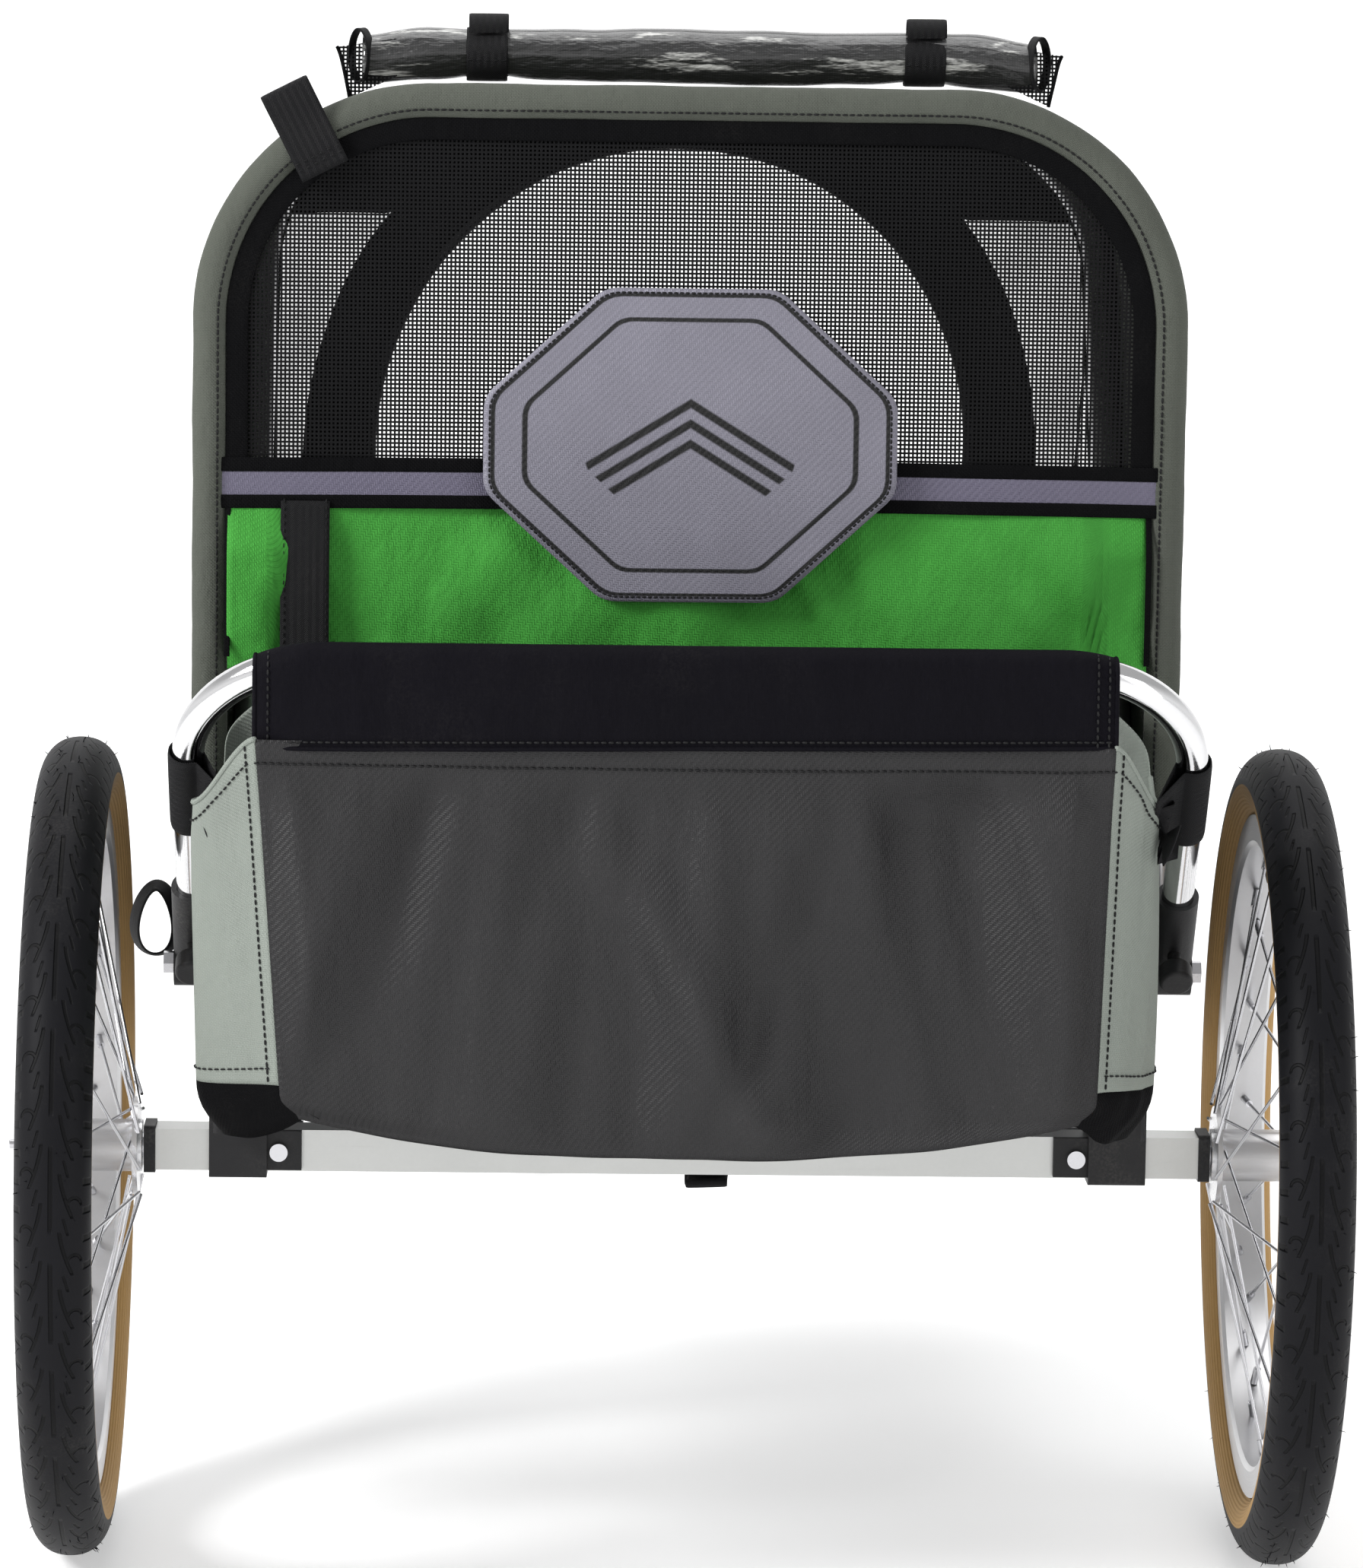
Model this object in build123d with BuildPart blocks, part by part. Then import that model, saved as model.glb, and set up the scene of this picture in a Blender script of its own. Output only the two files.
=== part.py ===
"""Child bicycle trailer with a trunk bag, a folding two-bow canopy and quick-release wheels.

The origin is on the ground under the middle of the axle. X is across, to the right when the
trailer is seen from behind, Y is the way it travels and Z is up. Sizes are in millimetres.
"""
import math
import os

from build123d import *

# Overall sizes
wheel_track = 732.0
wheel_diameter = 500.0
tyre_width = 45.0
hinge_y = -60.0
hinge_z = 418.0
hoop_half_width = 284.0
hoop_top = 889.0
hoop_bend = 130.0
bow_half_width = 262.5
bow_top_y = 262.0
bow_top_z = 876.0
bow_bend = 120.0
frame_front = 660.0
tub_height = 404.0

# Clearances
easy_gap = 0.3
slip_gap = 0.1
running_gap = 0.05
press_gap = 0.02

# Wheels
axle_z = wheel_diameter / 2
wheel_x = wheel_track / 2
bead_seat = 203.0
rim_width = 30.0
rim_wall = 2.5
rim_flange = 6.0
rim_depth = 13.0
tyre_shell = 3.0
bead_height = 10.0
bead_width = 3.2
inner_tube_radius = 16.7
inner_tube_wall = 1.0
valve_radius = 4.0
valve_reach = 32.0
spoke_count = 36
spoke_radius = 1.0
spoke_lift = 2.6
cross_angle = 60.0
nipple_radius = 2.25
nipple_length = 11.0
spoke_circle = 27.0
spoke_hook = 8.6
flange_radius = 30.0
flange_thickness = 3.0
flange_inboard = 36.0
flange_outboard = 31.0
hub_radius = 16.0
hub_inboard = 39.7
hub_outboard = 34.0
bearing_radius = 12.0
bearing_width = 6.0

# Quick-release axles
pin_radius = 5.98
axle_collar_radius = 8.5
axle_collar_width = 1.0
axle_head_radius = 9.0
axle_head_width = 4.0
bush_bore = pin_radius + 0.07
bush_length = 60.0
button_radius = 3.0
button_length = 17.5
button_proud = 3.5
button_bore_depth = 18.0
spring_length = 0.8

# Axle beam and its brackets
beam_size = 25.4
beam_wall = 3.0
beam_half_length = 318.0
cap_size = 29.0
cap_width = 7.0
cap_bore = 7.0
bracket_inner_x = 250.0
bracket_outer_x = 285.0
bracket_half_depth = 22.0
bracket_bottom = 234.5
bracket_top = 300.0
tab_inner_x = 229.0
tab_bottom = 238.7
tab_thickness = 5.0
bracket_bolt_x = 242.8
bolt_radius = 2.98
bolt_hole = 3.2
bolt_head_radius = 5.5
bolt_head_height = 3.3
nut_across = 10.0
nut_height = 5.0

# Lower frame
rail_radius = 11.1
rail_wall = 1.8
rail_x = 266.0
rail_z = 281.0
rail_rear = -55.0
rail_front = 560.0
front_bend = 60.0
plug_length = 38.0
end_plug_depth = 18.0
end_plug_cap = 3.0
floor_thickness = 3.0
floor_rear = -50.0
floor_notch = 20.0

# Rear posts and the hinge blocks on them
tube_radius = 9.5
tube_wall = 1.6
post_x = 268.0
post_y = -42.0
foot_half_width = 13.0
foot_half_depth = 12.0
foot_bottom = 268.0
foot_top = 306.0
foot_socket = 8.0
block_front = -50.0
block_rear = -70.0
lug_rear = -92.0
lug_bottom = 362.0
lug_inner_x = 262.0
lug_outer_x = 273.6
deck_bottom = 396.0
cheek_thickness = 4.0
cheek_radius = 10.0
hinge_bolt_radius = 3.98
hinge_bore = hinge_bolt_radius + running_gap
bolt_cap_radius = 7.0
bolt_cap_height = 6.0

# Push bar and its lock knobs
bar_hinge_y = -80.0
bar_hinge_z = 377.0
bar_half_width = 291.0
bar_top_y = -235.0
bar_top_z = 577.0
bar_bend = 80.0
bar_start = 20.0
socket_radius = 12.6
socket_reach = 66.0
knuckle_radius = 14.0
knuckle_half = 12.7
knob_radius = 10.0
knob_length = 14.0
knob_stem_radius = 4.0
knob_reach = 27.0
knob_gap = 9.0
flap_left = -250.0
flap_right = 240.0
flap_sleeve_half = 208.0
flap_thickness = 2.5
flap_hem_z = 534.0
loop_end = 170.0
loop_length = 44.0

# Seat
seat_z = 345.0
seat_bar_y = 235.0
seat_bar_bend = 32.0
seat_half_width = 240.0
seat_rear = -50.0
seat_front = 250.0
seat_thickness = 16.0
back_half_width = 235.0
back_thickness = 20.0
back_bottom = 434.0
panel_bottom = 440.0
panel_step_z = 618.0
back_top = 662.0
strap_thickness = 2.0
strap_width = 25.0
seat_places = (-120.0, 120.0)
shoulder_spacing = 70.0
lap_reach = 95.0
buckle_y = 170.0
buckle_size = (42.0, 34.0, 12.0)

# Cabin fabric
fabric = 2.0
wall_x = 278.0
wall_rear = -48.0
front_wall_y = 672.0
panel_clear = tube_radius + easy_gap
hoop_fabric_clear = 13.0
window_x = bow_half_width + panel_clear
front_foot_y = 655.0
front_foot_z = tub_height + 2.0
opening_sill = 84.0
opening_half_width = 200.0
opening_crown = 42.0
canopy_start = 60.0
roof_slack = 2.6

# Rolled front cover
roll_left = -207.0
roll_right = 229.0
roll_radius = 16.0
roll_strap_x = (-124.0, 154.0)
roll_strap_width = 26.0

# Trunk bag
bag_rear = -238.0
bag_front = -63.0
bag_shoulder_y = -102.0
bag_neck_y = -96.0
bag_rear_half = 242.0
bag_shoulder_half = 272.0
bag_neck_half = 240.0
bag_bottom = 294.0
bag_top = 528.0
bag_wall = 2.5

# Flag tab and webbing loops
tab_middle = (-229.0, 872.0)
tab_size = (30.0, 58.0)
tab_tilt = 27.0
side_loop_size = (24.0, 44.0)
side_loop_rise = 3.0
side_loop_radius = 10.0
floor_strap_x = 6.0
floor_strap_bottom = 229.0

# Tow arm
arm_hinge_y = 515.0
arm_hinge_z = 212.0
arm_radius = 12.7
arm_wall = 2.0
arm_start = 16.0
arm_bend = 150.0
arm_straight = 200.0
arm_return = 560.0
arm_length = 715.0
hitch_x = -75.0
receiver_rear = 490.0
receiver_front = 545.0
receiver_top = 297.0
receiver_bottom = 197.0
receiver_gap = 14.0
receiver_cheek = 4.0
stop_pin_y = 533.0
stop_pin_z = 233.0
hitch_hinge_y = 1245.0
hitch_eye_y = 1292.0
hitch_eye_radius = 16.0
hitch_bore = 5.2
hitch_plate = 6.0
fork_low = 4.0
fork_high = 52.0
fork_ear = 6.0
fork_radius = 16.0
hitch_pin_radius = 3.98

sides = {"left": -1, "right": 1}


def finish(part, name):
    """Label a finished piece and write it to its own file."""
    part.label = name
    export_step(part, f"parts/{name}.step")


def block(low, high, mode=Mode.ADD):
    """Add or cut the block between two opposite corners, given in any order."""
    size = [abs(b - a) for a, b in zip(low, high)]
    middle = [(a + b) / 2 for a, b in zip(low, high)]
    with Locations(Vector(*middle)):
        Box(*size, mode=mode)


def round_bar(start, end, radius, bore=0.0, mode=Mode.ADD):
    """Add or cut a round bar between two points, hollow where a bore is given."""
    run = Vector(*end) - Vector(*start)
    with BuildSketch(Plane(origin=start, z_dir=run)) as ring:
        Circle(radius)
        if bore:
            Circle(bore, mode=Mode.SUBTRACT)
    extrude(ring.sketch, amount=run.length, mode=mode)


def bent_tube(points, bend, radius, wall):
    """Add a round tube along straight runs that are joined by arcs of one radius."""
    with BuildLine() as route:
        FilletPolyline(*points, radius=bend)
    with BuildSketch(Plane(origin=route.line @ 0, z_dir=route.line % 0)) as ring:
        Circle(radius)
        Circle(radius - wall, mode=Mode.SUBTRACT)
    sweep(sections=ring.sketch, path=route.line)


def arch(plane, half_width, bottom, top, bend):
    """Sketch an upright panel with two round upper corners."""
    with BuildSketch(plane) as outline:
        with Locations((0, (bottom + top) / 2)):
            Rectangle(2 * half_width, top - bottom)
        fillet(outline.vertices().group_by(Axis.Y)[-1], bend)
    return outline.sketch


def upright_plane(lean):
    """Plane through the canopy hinge whose upright axis leans forward by an angle in radians."""
    return Plane(origin=(0, hinge_y, hinge_z), x_dir=(1, 0, 0),
                 z_dir=(0, -math.cos(lean), math.sin(lean)))


def on_plane(plane, x, height):
    """Point on a plane, from its distance across and its height along the plane."""
    return plane.from_local_coords((x, height, 0))


def wheel_plane(side):
    """Upright plane through a wheel's axis, with its X axis pointing outboard."""
    return Plane(origin=(side * wheel_x, 0, axle_z), x_dir=(side, 0, 0), z_dir=(0, -side, 0))


def turned(side, outline):
    """Add the ring that a profile, given as distances outboard and radii, sweeps round the axle."""
    with BuildSketch(wheel_plane(side)) as profile:
        with BuildLine():
            Polyline(*outline, close=True)
        make_face()
    revolve(profile.sketch, axis=Axis((0, 0, axle_z), (1, 0, 0)))


os.makedirs("parts", exist_ok=True)

# ---------------------------------------------------------------- axle beam
beam_inside = beam_size / 2 - beam_wall
with BuildPart() as axle_beam:
    with BuildSketch(Plane.YZ.offset(-beam_half_length)):
        with Locations((0, axle_z)):
            Rectangle(beam_size, beam_size)
            Rectangle(2 * beam_inside, 2 * beam_inside, mode=Mode.SUBTRACT)
    extrude(amount=2 * beam_half_length)
    for side in sides.values():
        bolt_x = side * bracket_bolt_x
        round_bar((bolt_x, -beam_size, axle_z), (bolt_x, beam_size, axle_z), bolt_hole, mode=Mode.SUBTRACT)
finish(axle_beam.part, "axle_beam")

with BuildPart() as axle_end_caps:
    for side in sides.values():
        with BuildSketch(Plane.YZ.offset(side * beam_half_length)):
            with Locations((0, axle_z)):
                RectangleRounded(cap_size, cap_size, 2.5)
                Circle(cap_bore, mode=Mode.SUBTRACT)
        extrude(amount=side * cap_width)
finish(axle_end_caps.part, "axle_end_caps")

bush_inner_x = beam_half_length - bush_length
with BuildPart() as axle_bushes:
    for side in sides.values():
        with BuildSketch(Plane.YZ.offset(side * bush_inner_x)):
            with Locations((0, axle_z)):
                Rectangle(2 * (beam_inside - slip_gap), 2 * (beam_inside - slip_gap))
                Circle(bush_bore, mode=Mode.SUBTRACT)
        extrude(amount=side * bush_length)
finish(axle_bushes.part, "axle_bushes")

# ---------------------------------------------------------------- brackets on the beam
saddle = beam_size / 2 + slip_gap
tab_outer_y = saddle + tab_thickness
with BuildPart() as frame_brackets:
    for side in sides.values():
        block((side * bracket_inner_x, -bracket_half_depth, bracket_bottom),
              (side * bracket_outer_x, bracket_half_depth, bracket_top))
    fillet(frame_brackets.edges().filter_by(Axis.X), 2.0)
    for side in sides.values():
        for face in (-1, 1):
            block((side * tab_inner_x, face * saddle, tab_bottom),
                  (side * bracket_inner_x, face * tab_outer_y, axle_z + saddle))
        block((side * tab_inner_x, -saddle, axle_z - saddle),
              (side * (bracket_outer_x + 1), saddle, axle_z + saddle), mode=Mode.SUBTRACT)
        round_bar((side * rail_x, -bracket_half_depth - 1, rail_z),
                  (side * rail_x, bracket_half_depth + 1, rail_z),
                  rail_radius + slip_gap, mode=Mode.SUBTRACT)
        bolt_x = side * bracket_bolt_x
        round_bar((bolt_x, -bracket_half_depth, axle_z), (bolt_x, bracket_half_depth, axle_z),
                  bolt_hole, mode=Mode.SUBTRACT)
finish(frame_brackets.part, "frame_brackets")

# ---------------------------------------------------------------- lower frame
with BuildPart() as side_rails:
    for side in sides.values():
        round_bar((side * rail_x, rail_rear, rail_z), (side * rail_x, rail_front, rail_z),
                  rail_radius, bore=rail_radius - rail_wall)
finish(side_rails.part, "side_rails")

with BuildPart() as front_tube:
    corners = [(-rail_x, rail_front, rail_z), (-rail_x, frame_front, rail_z),
               (rail_x, frame_front, rail_z), (rail_x, rail_front, rail_z)]
    bent_tube(corners, front_bend, rail_radius, rail_wall)
finish(front_tube.part, "front_tube")

plug_radius = rail_radius - rail_wall - slip_gap
with BuildPart() as tube_plugs:
    for side in sides.values():
        round_bar((side * rail_x, rail_front - plug_length, rail_z),
                  (side * rail_x, rail_front + plug_length, rail_z), plug_radius)
        round_bar((side * rail_x, rail_rear, rail_z),
                  (side * rail_x, rail_rear + end_plug_depth, rail_z), plug_radius)
        round_bar((side * rail_x, rail_rear - end_plug_cap, rail_z),
                  (side * rail_x, rail_rear, rail_z), rail_radius)
finish(tube_plugs.part, "tube_plugs")

floor_half_width = rail_x - rail_radius - easy_gap
floor_front = frame_front - rail_radius - easy_gap
with BuildPart() as floor_panel:
    with BuildSketch(Plane.XY.offset(rail_z - floor_thickness / 2)) as floor_outline:
        with Locations((0, (floor_rear + floor_front) / 2)):
            Rectangle(2 * floor_half_width, floor_front - floor_rear)
        fillet(floor_outline.vertices().group_by(Axis.Y)[-1], front_bend - rail_radius - easy_gap)
        for side in sides.values():
            with Locations((side * (bracket_inner_x + floor_notch / 2 - easy_gap), 0)):
                Rectangle(floor_notch, 2 * (bracket_half_depth + easy_gap), mode=Mode.SUBTRACT)
            with Locations((side * (post_x - foot_half_width + floor_notch / 2 - easy_gap), post_y)):
                Rectangle(floor_notch, 2 * (foot_half_depth + easy_gap), mode=Mode.SUBTRACT)
        with Locations((-rail_x + receiver_gap + receiver_cheek - floor_notch / 2 + easy_gap,
                        (receiver_rear + receiver_front) / 2)):
            Rectangle(floor_notch, receiver_front - receiver_rear + 2 * easy_gap, mode=Mode.SUBTRACT)
    extrude(amount=floor_thickness)
finish(floor_panel.part, "floor_panel")

# ---------------------------------------------------------------- rear posts
post_bottom = foot_top - foot_socket + easy_gap
with BuildPart() as post_feet:
    for side in sides.values():
        block((side * (post_x - foot_half_width), post_y - foot_half_depth, foot_bottom),
              (side * (post_x + foot_half_width), post_y + foot_half_depth, foot_top))
    fillet(post_feet.edges().filter_by(Axis.Z), 3.0)
    for side in sides.values():
        round_bar((side * rail_x, post_y - 20, rail_z), (side * rail_x, post_y + 20, rail_z),
                  rail_radius + slip_gap, mode=Mode.SUBTRACT)
        round_bar((side * post_x, post_y, foot_top - foot_socket), (side * post_x, post_y, foot_top),
                  tube_radius + slip_gap, mode=Mode.SUBTRACT)
finish(post_feet.part, "post_feet")

with BuildPart() as rear_posts:
    for side in sides.values():
        round_bar((side * post_x, post_y, post_bottom), (side * post_x, post_y, lug_bottom),
                  tube_radius, bore=tube_radius - tube_wall)
finish(rear_posts.part, "rear_posts")

cheek_inner_x = bow_half_width - tube_radius - easy_gap
cheek_outer_x = hoop_half_width + tube_radius + easy_gap
with BuildPart() as hinge_blocks:
    for side in sides.values():
        block((side * (cheek_inner_x - cheek_thickness), block_rear, deck_bottom),
              (side * (cheek_outer_x + cheek_thickness), block_front, tub_height))
        block((side * lug_inner_x, lug_rear, lug_bottom), (side * lug_outer_x, post_y + tube_radius, deck_bottom))
        for inner_x in (cheek_inner_x - cheek_thickness, cheek_outer_x):
            with BuildSketch(Plane.YZ.offset(side * inner_x)):
                with Locations((hinge_y, (tub_height + hinge_z) / 2)):
                    Rectangle(2 * cheek_radius, hinge_z - tub_height)
                with Locations((hinge_y, hinge_z)):
                    Circle(cheek_radius)
            extrude(amount=side * cheek_thickness)
        round_bar((side * (cheek_inner_x - 10), hinge_y, hinge_z), (side * (cheek_outer_x + 10), hinge_y, hinge_z),
                  hinge_bore, mode=Mode.SUBTRACT)
        round_bar((side * (lug_inner_x - 1), bar_hinge_y, bar_hinge_z),
                  (side * (lug_outer_x + 1), bar_hinge_y, bar_hinge_z), hinge_bore, mode=Mode.SUBTRACT)
finish(hinge_blocks.part, "hinge_blocks")

# ---------------------------------------------------------------- bolts of the frame
bolt_tail_x = bow_half_width - tube_radius - easy_gap - cheek_thickness
bolt_head_x = hoop_half_width + tube_radius + easy_gap + cheek_thickness
bar_bolt_head_x = bar_half_width + knuckle_half
cheek_x = receiver_gap + receiver_cheek
with BuildPart() as frame_bolts:
    for side in sides.values():
        bolt_x = side * bracket_bolt_x
        round_bar((bolt_x, -tab_outer_y, axle_z), (bolt_x, tab_outer_y + nut_height, axle_z), bolt_radius)
        round_bar((bolt_x, -tab_outer_y - bolt_head_height, axle_z), (bolt_x, -tab_outer_y, axle_z),
                  bolt_head_radius)
        with BuildSketch(Plane.XZ.offset(-tab_outer_y - nut_height)):
            with Locations((bolt_x, axle_z)):
                RegularPolygon(nut_across / 2, 6, major_radius=False)
        extrude(amount=nut_height)
        round_bar((side * bolt_tail_x, hinge_y, hinge_z), (side * bolt_head_x, hinge_y, hinge_z),
                  hinge_bolt_radius)
        round_bar((side * bolt_head_x, hinge_y, hinge_z),
                  (side * (bolt_head_x + bolt_cap_height), hinge_y, hinge_z), bolt_cap_radius)
        round_bar((side * (bolt_tail_x - nut_height), hinge_y, hinge_z),
                  (side * bolt_tail_x, hinge_y, hinge_z), bolt_cap_radius)
        round_bar((side * (lug_inner_x - nut_height), bar_hinge_y, bar_hinge_z),
                  (side * lug_inner_x, bar_hinge_y, bar_hinge_z), bolt_cap_radius)
        round_bar((side * lug_inner_x, bar_hinge_y, bar_hinge_z),
                  (side * bar_bolt_head_x, bar_hinge_y, bar_hinge_z), hinge_bolt_radius)
        with BuildSketch(Plane.YZ.offset(side * bar_bolt_head_x)):
            with Locations((bar_hinge_y, bar_hinge_z)):
                RegularPolygon(bolt_cap_radius, 6)
        extrude(amount=side * bolt_cap_height)
    for pin_y, pin_z in ((arm_hinge_y, arm_hinge_z), (stop_pin_y, stop_pin_z)):
        round_bar((-rail_x - cheek_x, pin_y, pin_z), (-rail_x + cheek_x, pin_y, pin_z),
                  hinge_bolt_radius)
        for end in (-1, 1):
            round_bar((-rail_x + end * cheek_x, pin_y, pin_z),
                      (-rail_x + end * (cheek_x + nut_height), pin_y, pin_z), bolt_cap_radius)
finish(frame_bolts.part, "frame_bolts")

# ---------------------------------------------------------------- seat and its tubes
cross_end = post_x - tube_radius - easy_gap
with BuildPart() as rear_cross_tube:
    round_bar((-cross_end, post_y, seat_z), (cross_end, post_y, seat_z), tube_radius,
              bore=tube_radius - tube_wall)
finish(rear_cross_tube.part, "rear_cross_tube")

rail_crest = rail_z + rail_radius
with BuildPart() as seat_front_bar:
    corners = [(-rail_x, seat_bar_y, rail_crest + easy_gap), (-rail_x, seat_bar_y, seat_z),
               (rail_x, seat_bar_y, seat_z), (rail_x, seat_bar_y, rail_crest + easy_gap)]
    bent_tube(corners, seat_bar_bend, tube_radius, tube_wall)
finish(seat_front_bar.part, "seat_front_bar")

seat_bottom = seat_z + tube_radius + easy_gap
seat_top = seat_bottom + seat_thickness
with BuildPart() as seat_base:
    with BuildSketch(Plane.XY.offset(seat_bottom)):
        with Locations((0, (seat_rear + seat_front) / 2)):
            RectangleRounded(2 * seat_half_width, seat_front - seat_rear, 20)
    extrude(amount=seat_thickness)
    fillet(seat_base.edges().group_by(Axis.Z)[-1], seat_thickness * 0.3)
finish(seat_base.part, "seat_base")

lap_z = seat_top + easy_gap
buckle_length, buckle_width, buckle_height = buckle_size
with BuildPart() as lap_straps:
    for seat_x in seat_places:
        block((seat_x - strap_width / 2, 40, lap_z),
              (seat_x + strap_width / 2, buckle_y - buckle_length / 2 - easy_gap, lap_z + strap_thickness))
        for end in (-1, 1):
            block((seat_x + end * (buckle_width / 2 + easy_gap), buckle_y - strap_width / 2, lap_z),
                  (seat_x + end * lap_reach, buckle_y + strap_width / 2, lap_z + strap_thickness))
finish(lap_straps.part, "lap_straps")

with BuildPart() as harness_buckles:
    for seat_x in seat_places:
        block((seat_x - buckle_width / 2, buckle_y - buckle_length / 2, lap_z),
              (seat_x + buckle_width / 2, buckle_y + buckle_length / 2, lap_z + buckle_height))
    fillet(harness_buckles.edges().filter_by(Axis.Z), 6.0)
    fillet(harness_buckles.edges().group_by(Axis.Z)[-1], 3.0)
finish(harness_buckles.part, "harness_buckles")

# ---------------------------------------------------------------- cabin walls of the frame
wall_bottom = foot_top + easy_gap
with BuildPart() as tub_walls:
    for side in sides.values():
        block((side * wall_x, wall_rear, wall_bottom), (side * (wall_x + fabric), front_wall_y, tub_height))
    block((-wall_x, front_wall_y, rail_z), (wall_x, front_wall_y + fabric, tub_height))
    rear_wall_y = bag_front + easy_gap + fabric
    block((-post_x + tube_radius, rear_wall_y - fabric, wall_bottom),
          (post_x - tube_radius, rear_wall_y, deck_bottom - easy_gap))
finish(tub_walls.part, "tub_walls")

# ---------------------------------------------------------------- trunk bag
with BuildPart() as trunk_bag:
    right_half = [(0, bag_front), (bag_neck_half, bag_front), (bag_neck_half, bag_neck_y),
                  (bag_shoulder_half, bag_shoulder_y), (bag_rear_half, bag_rear), (0, bag_rear)]
    with BuildSketch(Plane.XY.offset(bag_bottom)) as bag_outline:
        with BuildLine():
            Polyline(*right_half)
            mirror(about=Plane.YZ)
        make_face()
    extrude(amount=bag_top - bag_bottom)
    with BuildSketch(Plane.XY.offset(bag_bottom + bag_wall)):
        add(bag_outline.sketch_local)
        offset(amount=-bag_wall, kind=Kind.INTERSECTION, mode=Mode.REPLACE)
    extrude(amount=bag_top - bag_bottom, mode=Mode.SUBTRACT)
finish(trunk_bag.part, "trunk_bag")

# ---------------------------------------------------------------- webbing on the frame
loop_width, loop_height = side_loop_size
loop_right_x = -bolt_head_x - bolt_cap_height - easy_gap
with BuildPart() as webbing_loops:
    with BuildSketch(Plane.XZ.offset(-hinge_y - side_loop_radius)):
        with Locations((loop_right_x - loop_width / 2, hinge_z + side_loop_rise - loop_height / 2)):
            RectangleRounded(loop_width, loop_height, side_loop_radius)
            RectangleRounded(loop_width - 2 * strap_thickness, loop_height - 2 * strap_thickness,
                             side_loop_radius - strap_thickness, mode=Mode.SUBTRACT)
    extrude(amount=2 * side_loop_radius)
    strap_top = rail_z - floor_thickness / 2 - easy_gap
    strap_half = beam_size / 2 + 1
    with BuildSketch(Plane.YZ.offset(floor_strap_x)):
        with Locations((0, (strap_top + floor_strap_bottom) / 2)):
            RectangleRounded(2 * strap_half + 2 * strap_thickness, strap_top - floor_strap_bottom, 8)
            RectangleRounded(2 * strap_half, strap_top - floor_strap_bottom - 2 * strap_thickness, 6,
                             mode=Mode.SUBTRACT)
    extrude(amount=strap_width)
finish(webbing_loops.part, "webbing_loops")

# ---------------------------------------------------------------- tow arm receiver
with BuildPart() as arm_receiver:
    block((-rail_x - cheek_x, receiver_rear, rail_z - rail_radius - 4),
          (-rail_x + cheek_x, receiver_front, receiver_top))
    fillet(arm_receiver.edges().filter_by(Axis.Y), 3.0)
    for end in (-1, 1):
        with BuildSketch(Plane.YZ.offset(-rail_x + end * receiver_gap)) as cheek:
            with Locations(((receiver_rear + receiver_front) / 2, (receiver_bottom + rail_z) / 2)):
                Rectangle(receiver_front - receiver_rear, rail_z - receiver_bottom)
            fillet(cheek.vertices().group_by(Axis.Y)[0], 12)
        extrude(amount=end * receiver_cheek)
    round_bar((-rail_x, receiver_rear - 1, rail_z), (-rail_x, receiver_front + 1, rail_z),
              rail_radius + slip_gap, mode=Mode.SUBTRACT)
    for pin_y, pin_z in ((arm_hinge_y, arm_hinge_z), (stop_pin_y, stop_pin_z)):
        round_bar((-rail_x - cheek_x - 1, pin_y, pin_z), (-rail_x + cheek_x + 1, pin_y, pin_z),
                  hinge_bore, mode=Mode.SUBTRACT)
finish(arm_receiver.part, "arm_receiver")

# ---------------------------------------------------------------- quick-release axles and wheels
hub_inner_x = wheel_x - hub_inboard
hub_outer_x = wheel_x + hub_outboard
head_inner_x = hub_outer_x + slip_gap
head_outer_x = head_inner_x + axle_head_width
collar_x = beam_half_length + cap_width + slip_gap
button_inner_x = head_outer_x + button_proud - button_length
bore_end_x = head_outer_x - button_bore_depth
rim_inner_radius = bead_seat - rim_depth
flange_top = bead_seat + rim_flange
tyre_middle = wheel_diameter / 2 - tyre_width / 2


def spoke_ends(number):
    """Both ends of one spoke, beyond its hook over the flange, with X outboard from the rim's middle."""
    outboard = number % 2
    lead = 1 if number // 2 % 2 == 0 else -1
    rim_angle = math.radians(360 / spoke_count * number)
    hub_angle = rim_angle + lead * math.radians(cross_angle)
    flange = flange_outboard if outboard else -flange_inboard
    hub_x = flange + lead * spoke_lift
    rim_x = 1.5 if outboard else -1.5
    rim_radius = rim_inner_radius - 2 * easy_gap
    hole = Vector(0, spoke_circle * math.sin(hub_angle), spoke_circle * math.cos(hub_angle))
    nipple = Vector(0, rim_radius * math.sin(rim_angle), rim_radius * math.cos(rim_angle))
    edge = hole + (nipple - hole).normalized() * spoke_hook
    return Vector(hub_x, edge.Y, edge.Z), Vector(rim_x, nipple.Y, nipple.Z)


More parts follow.
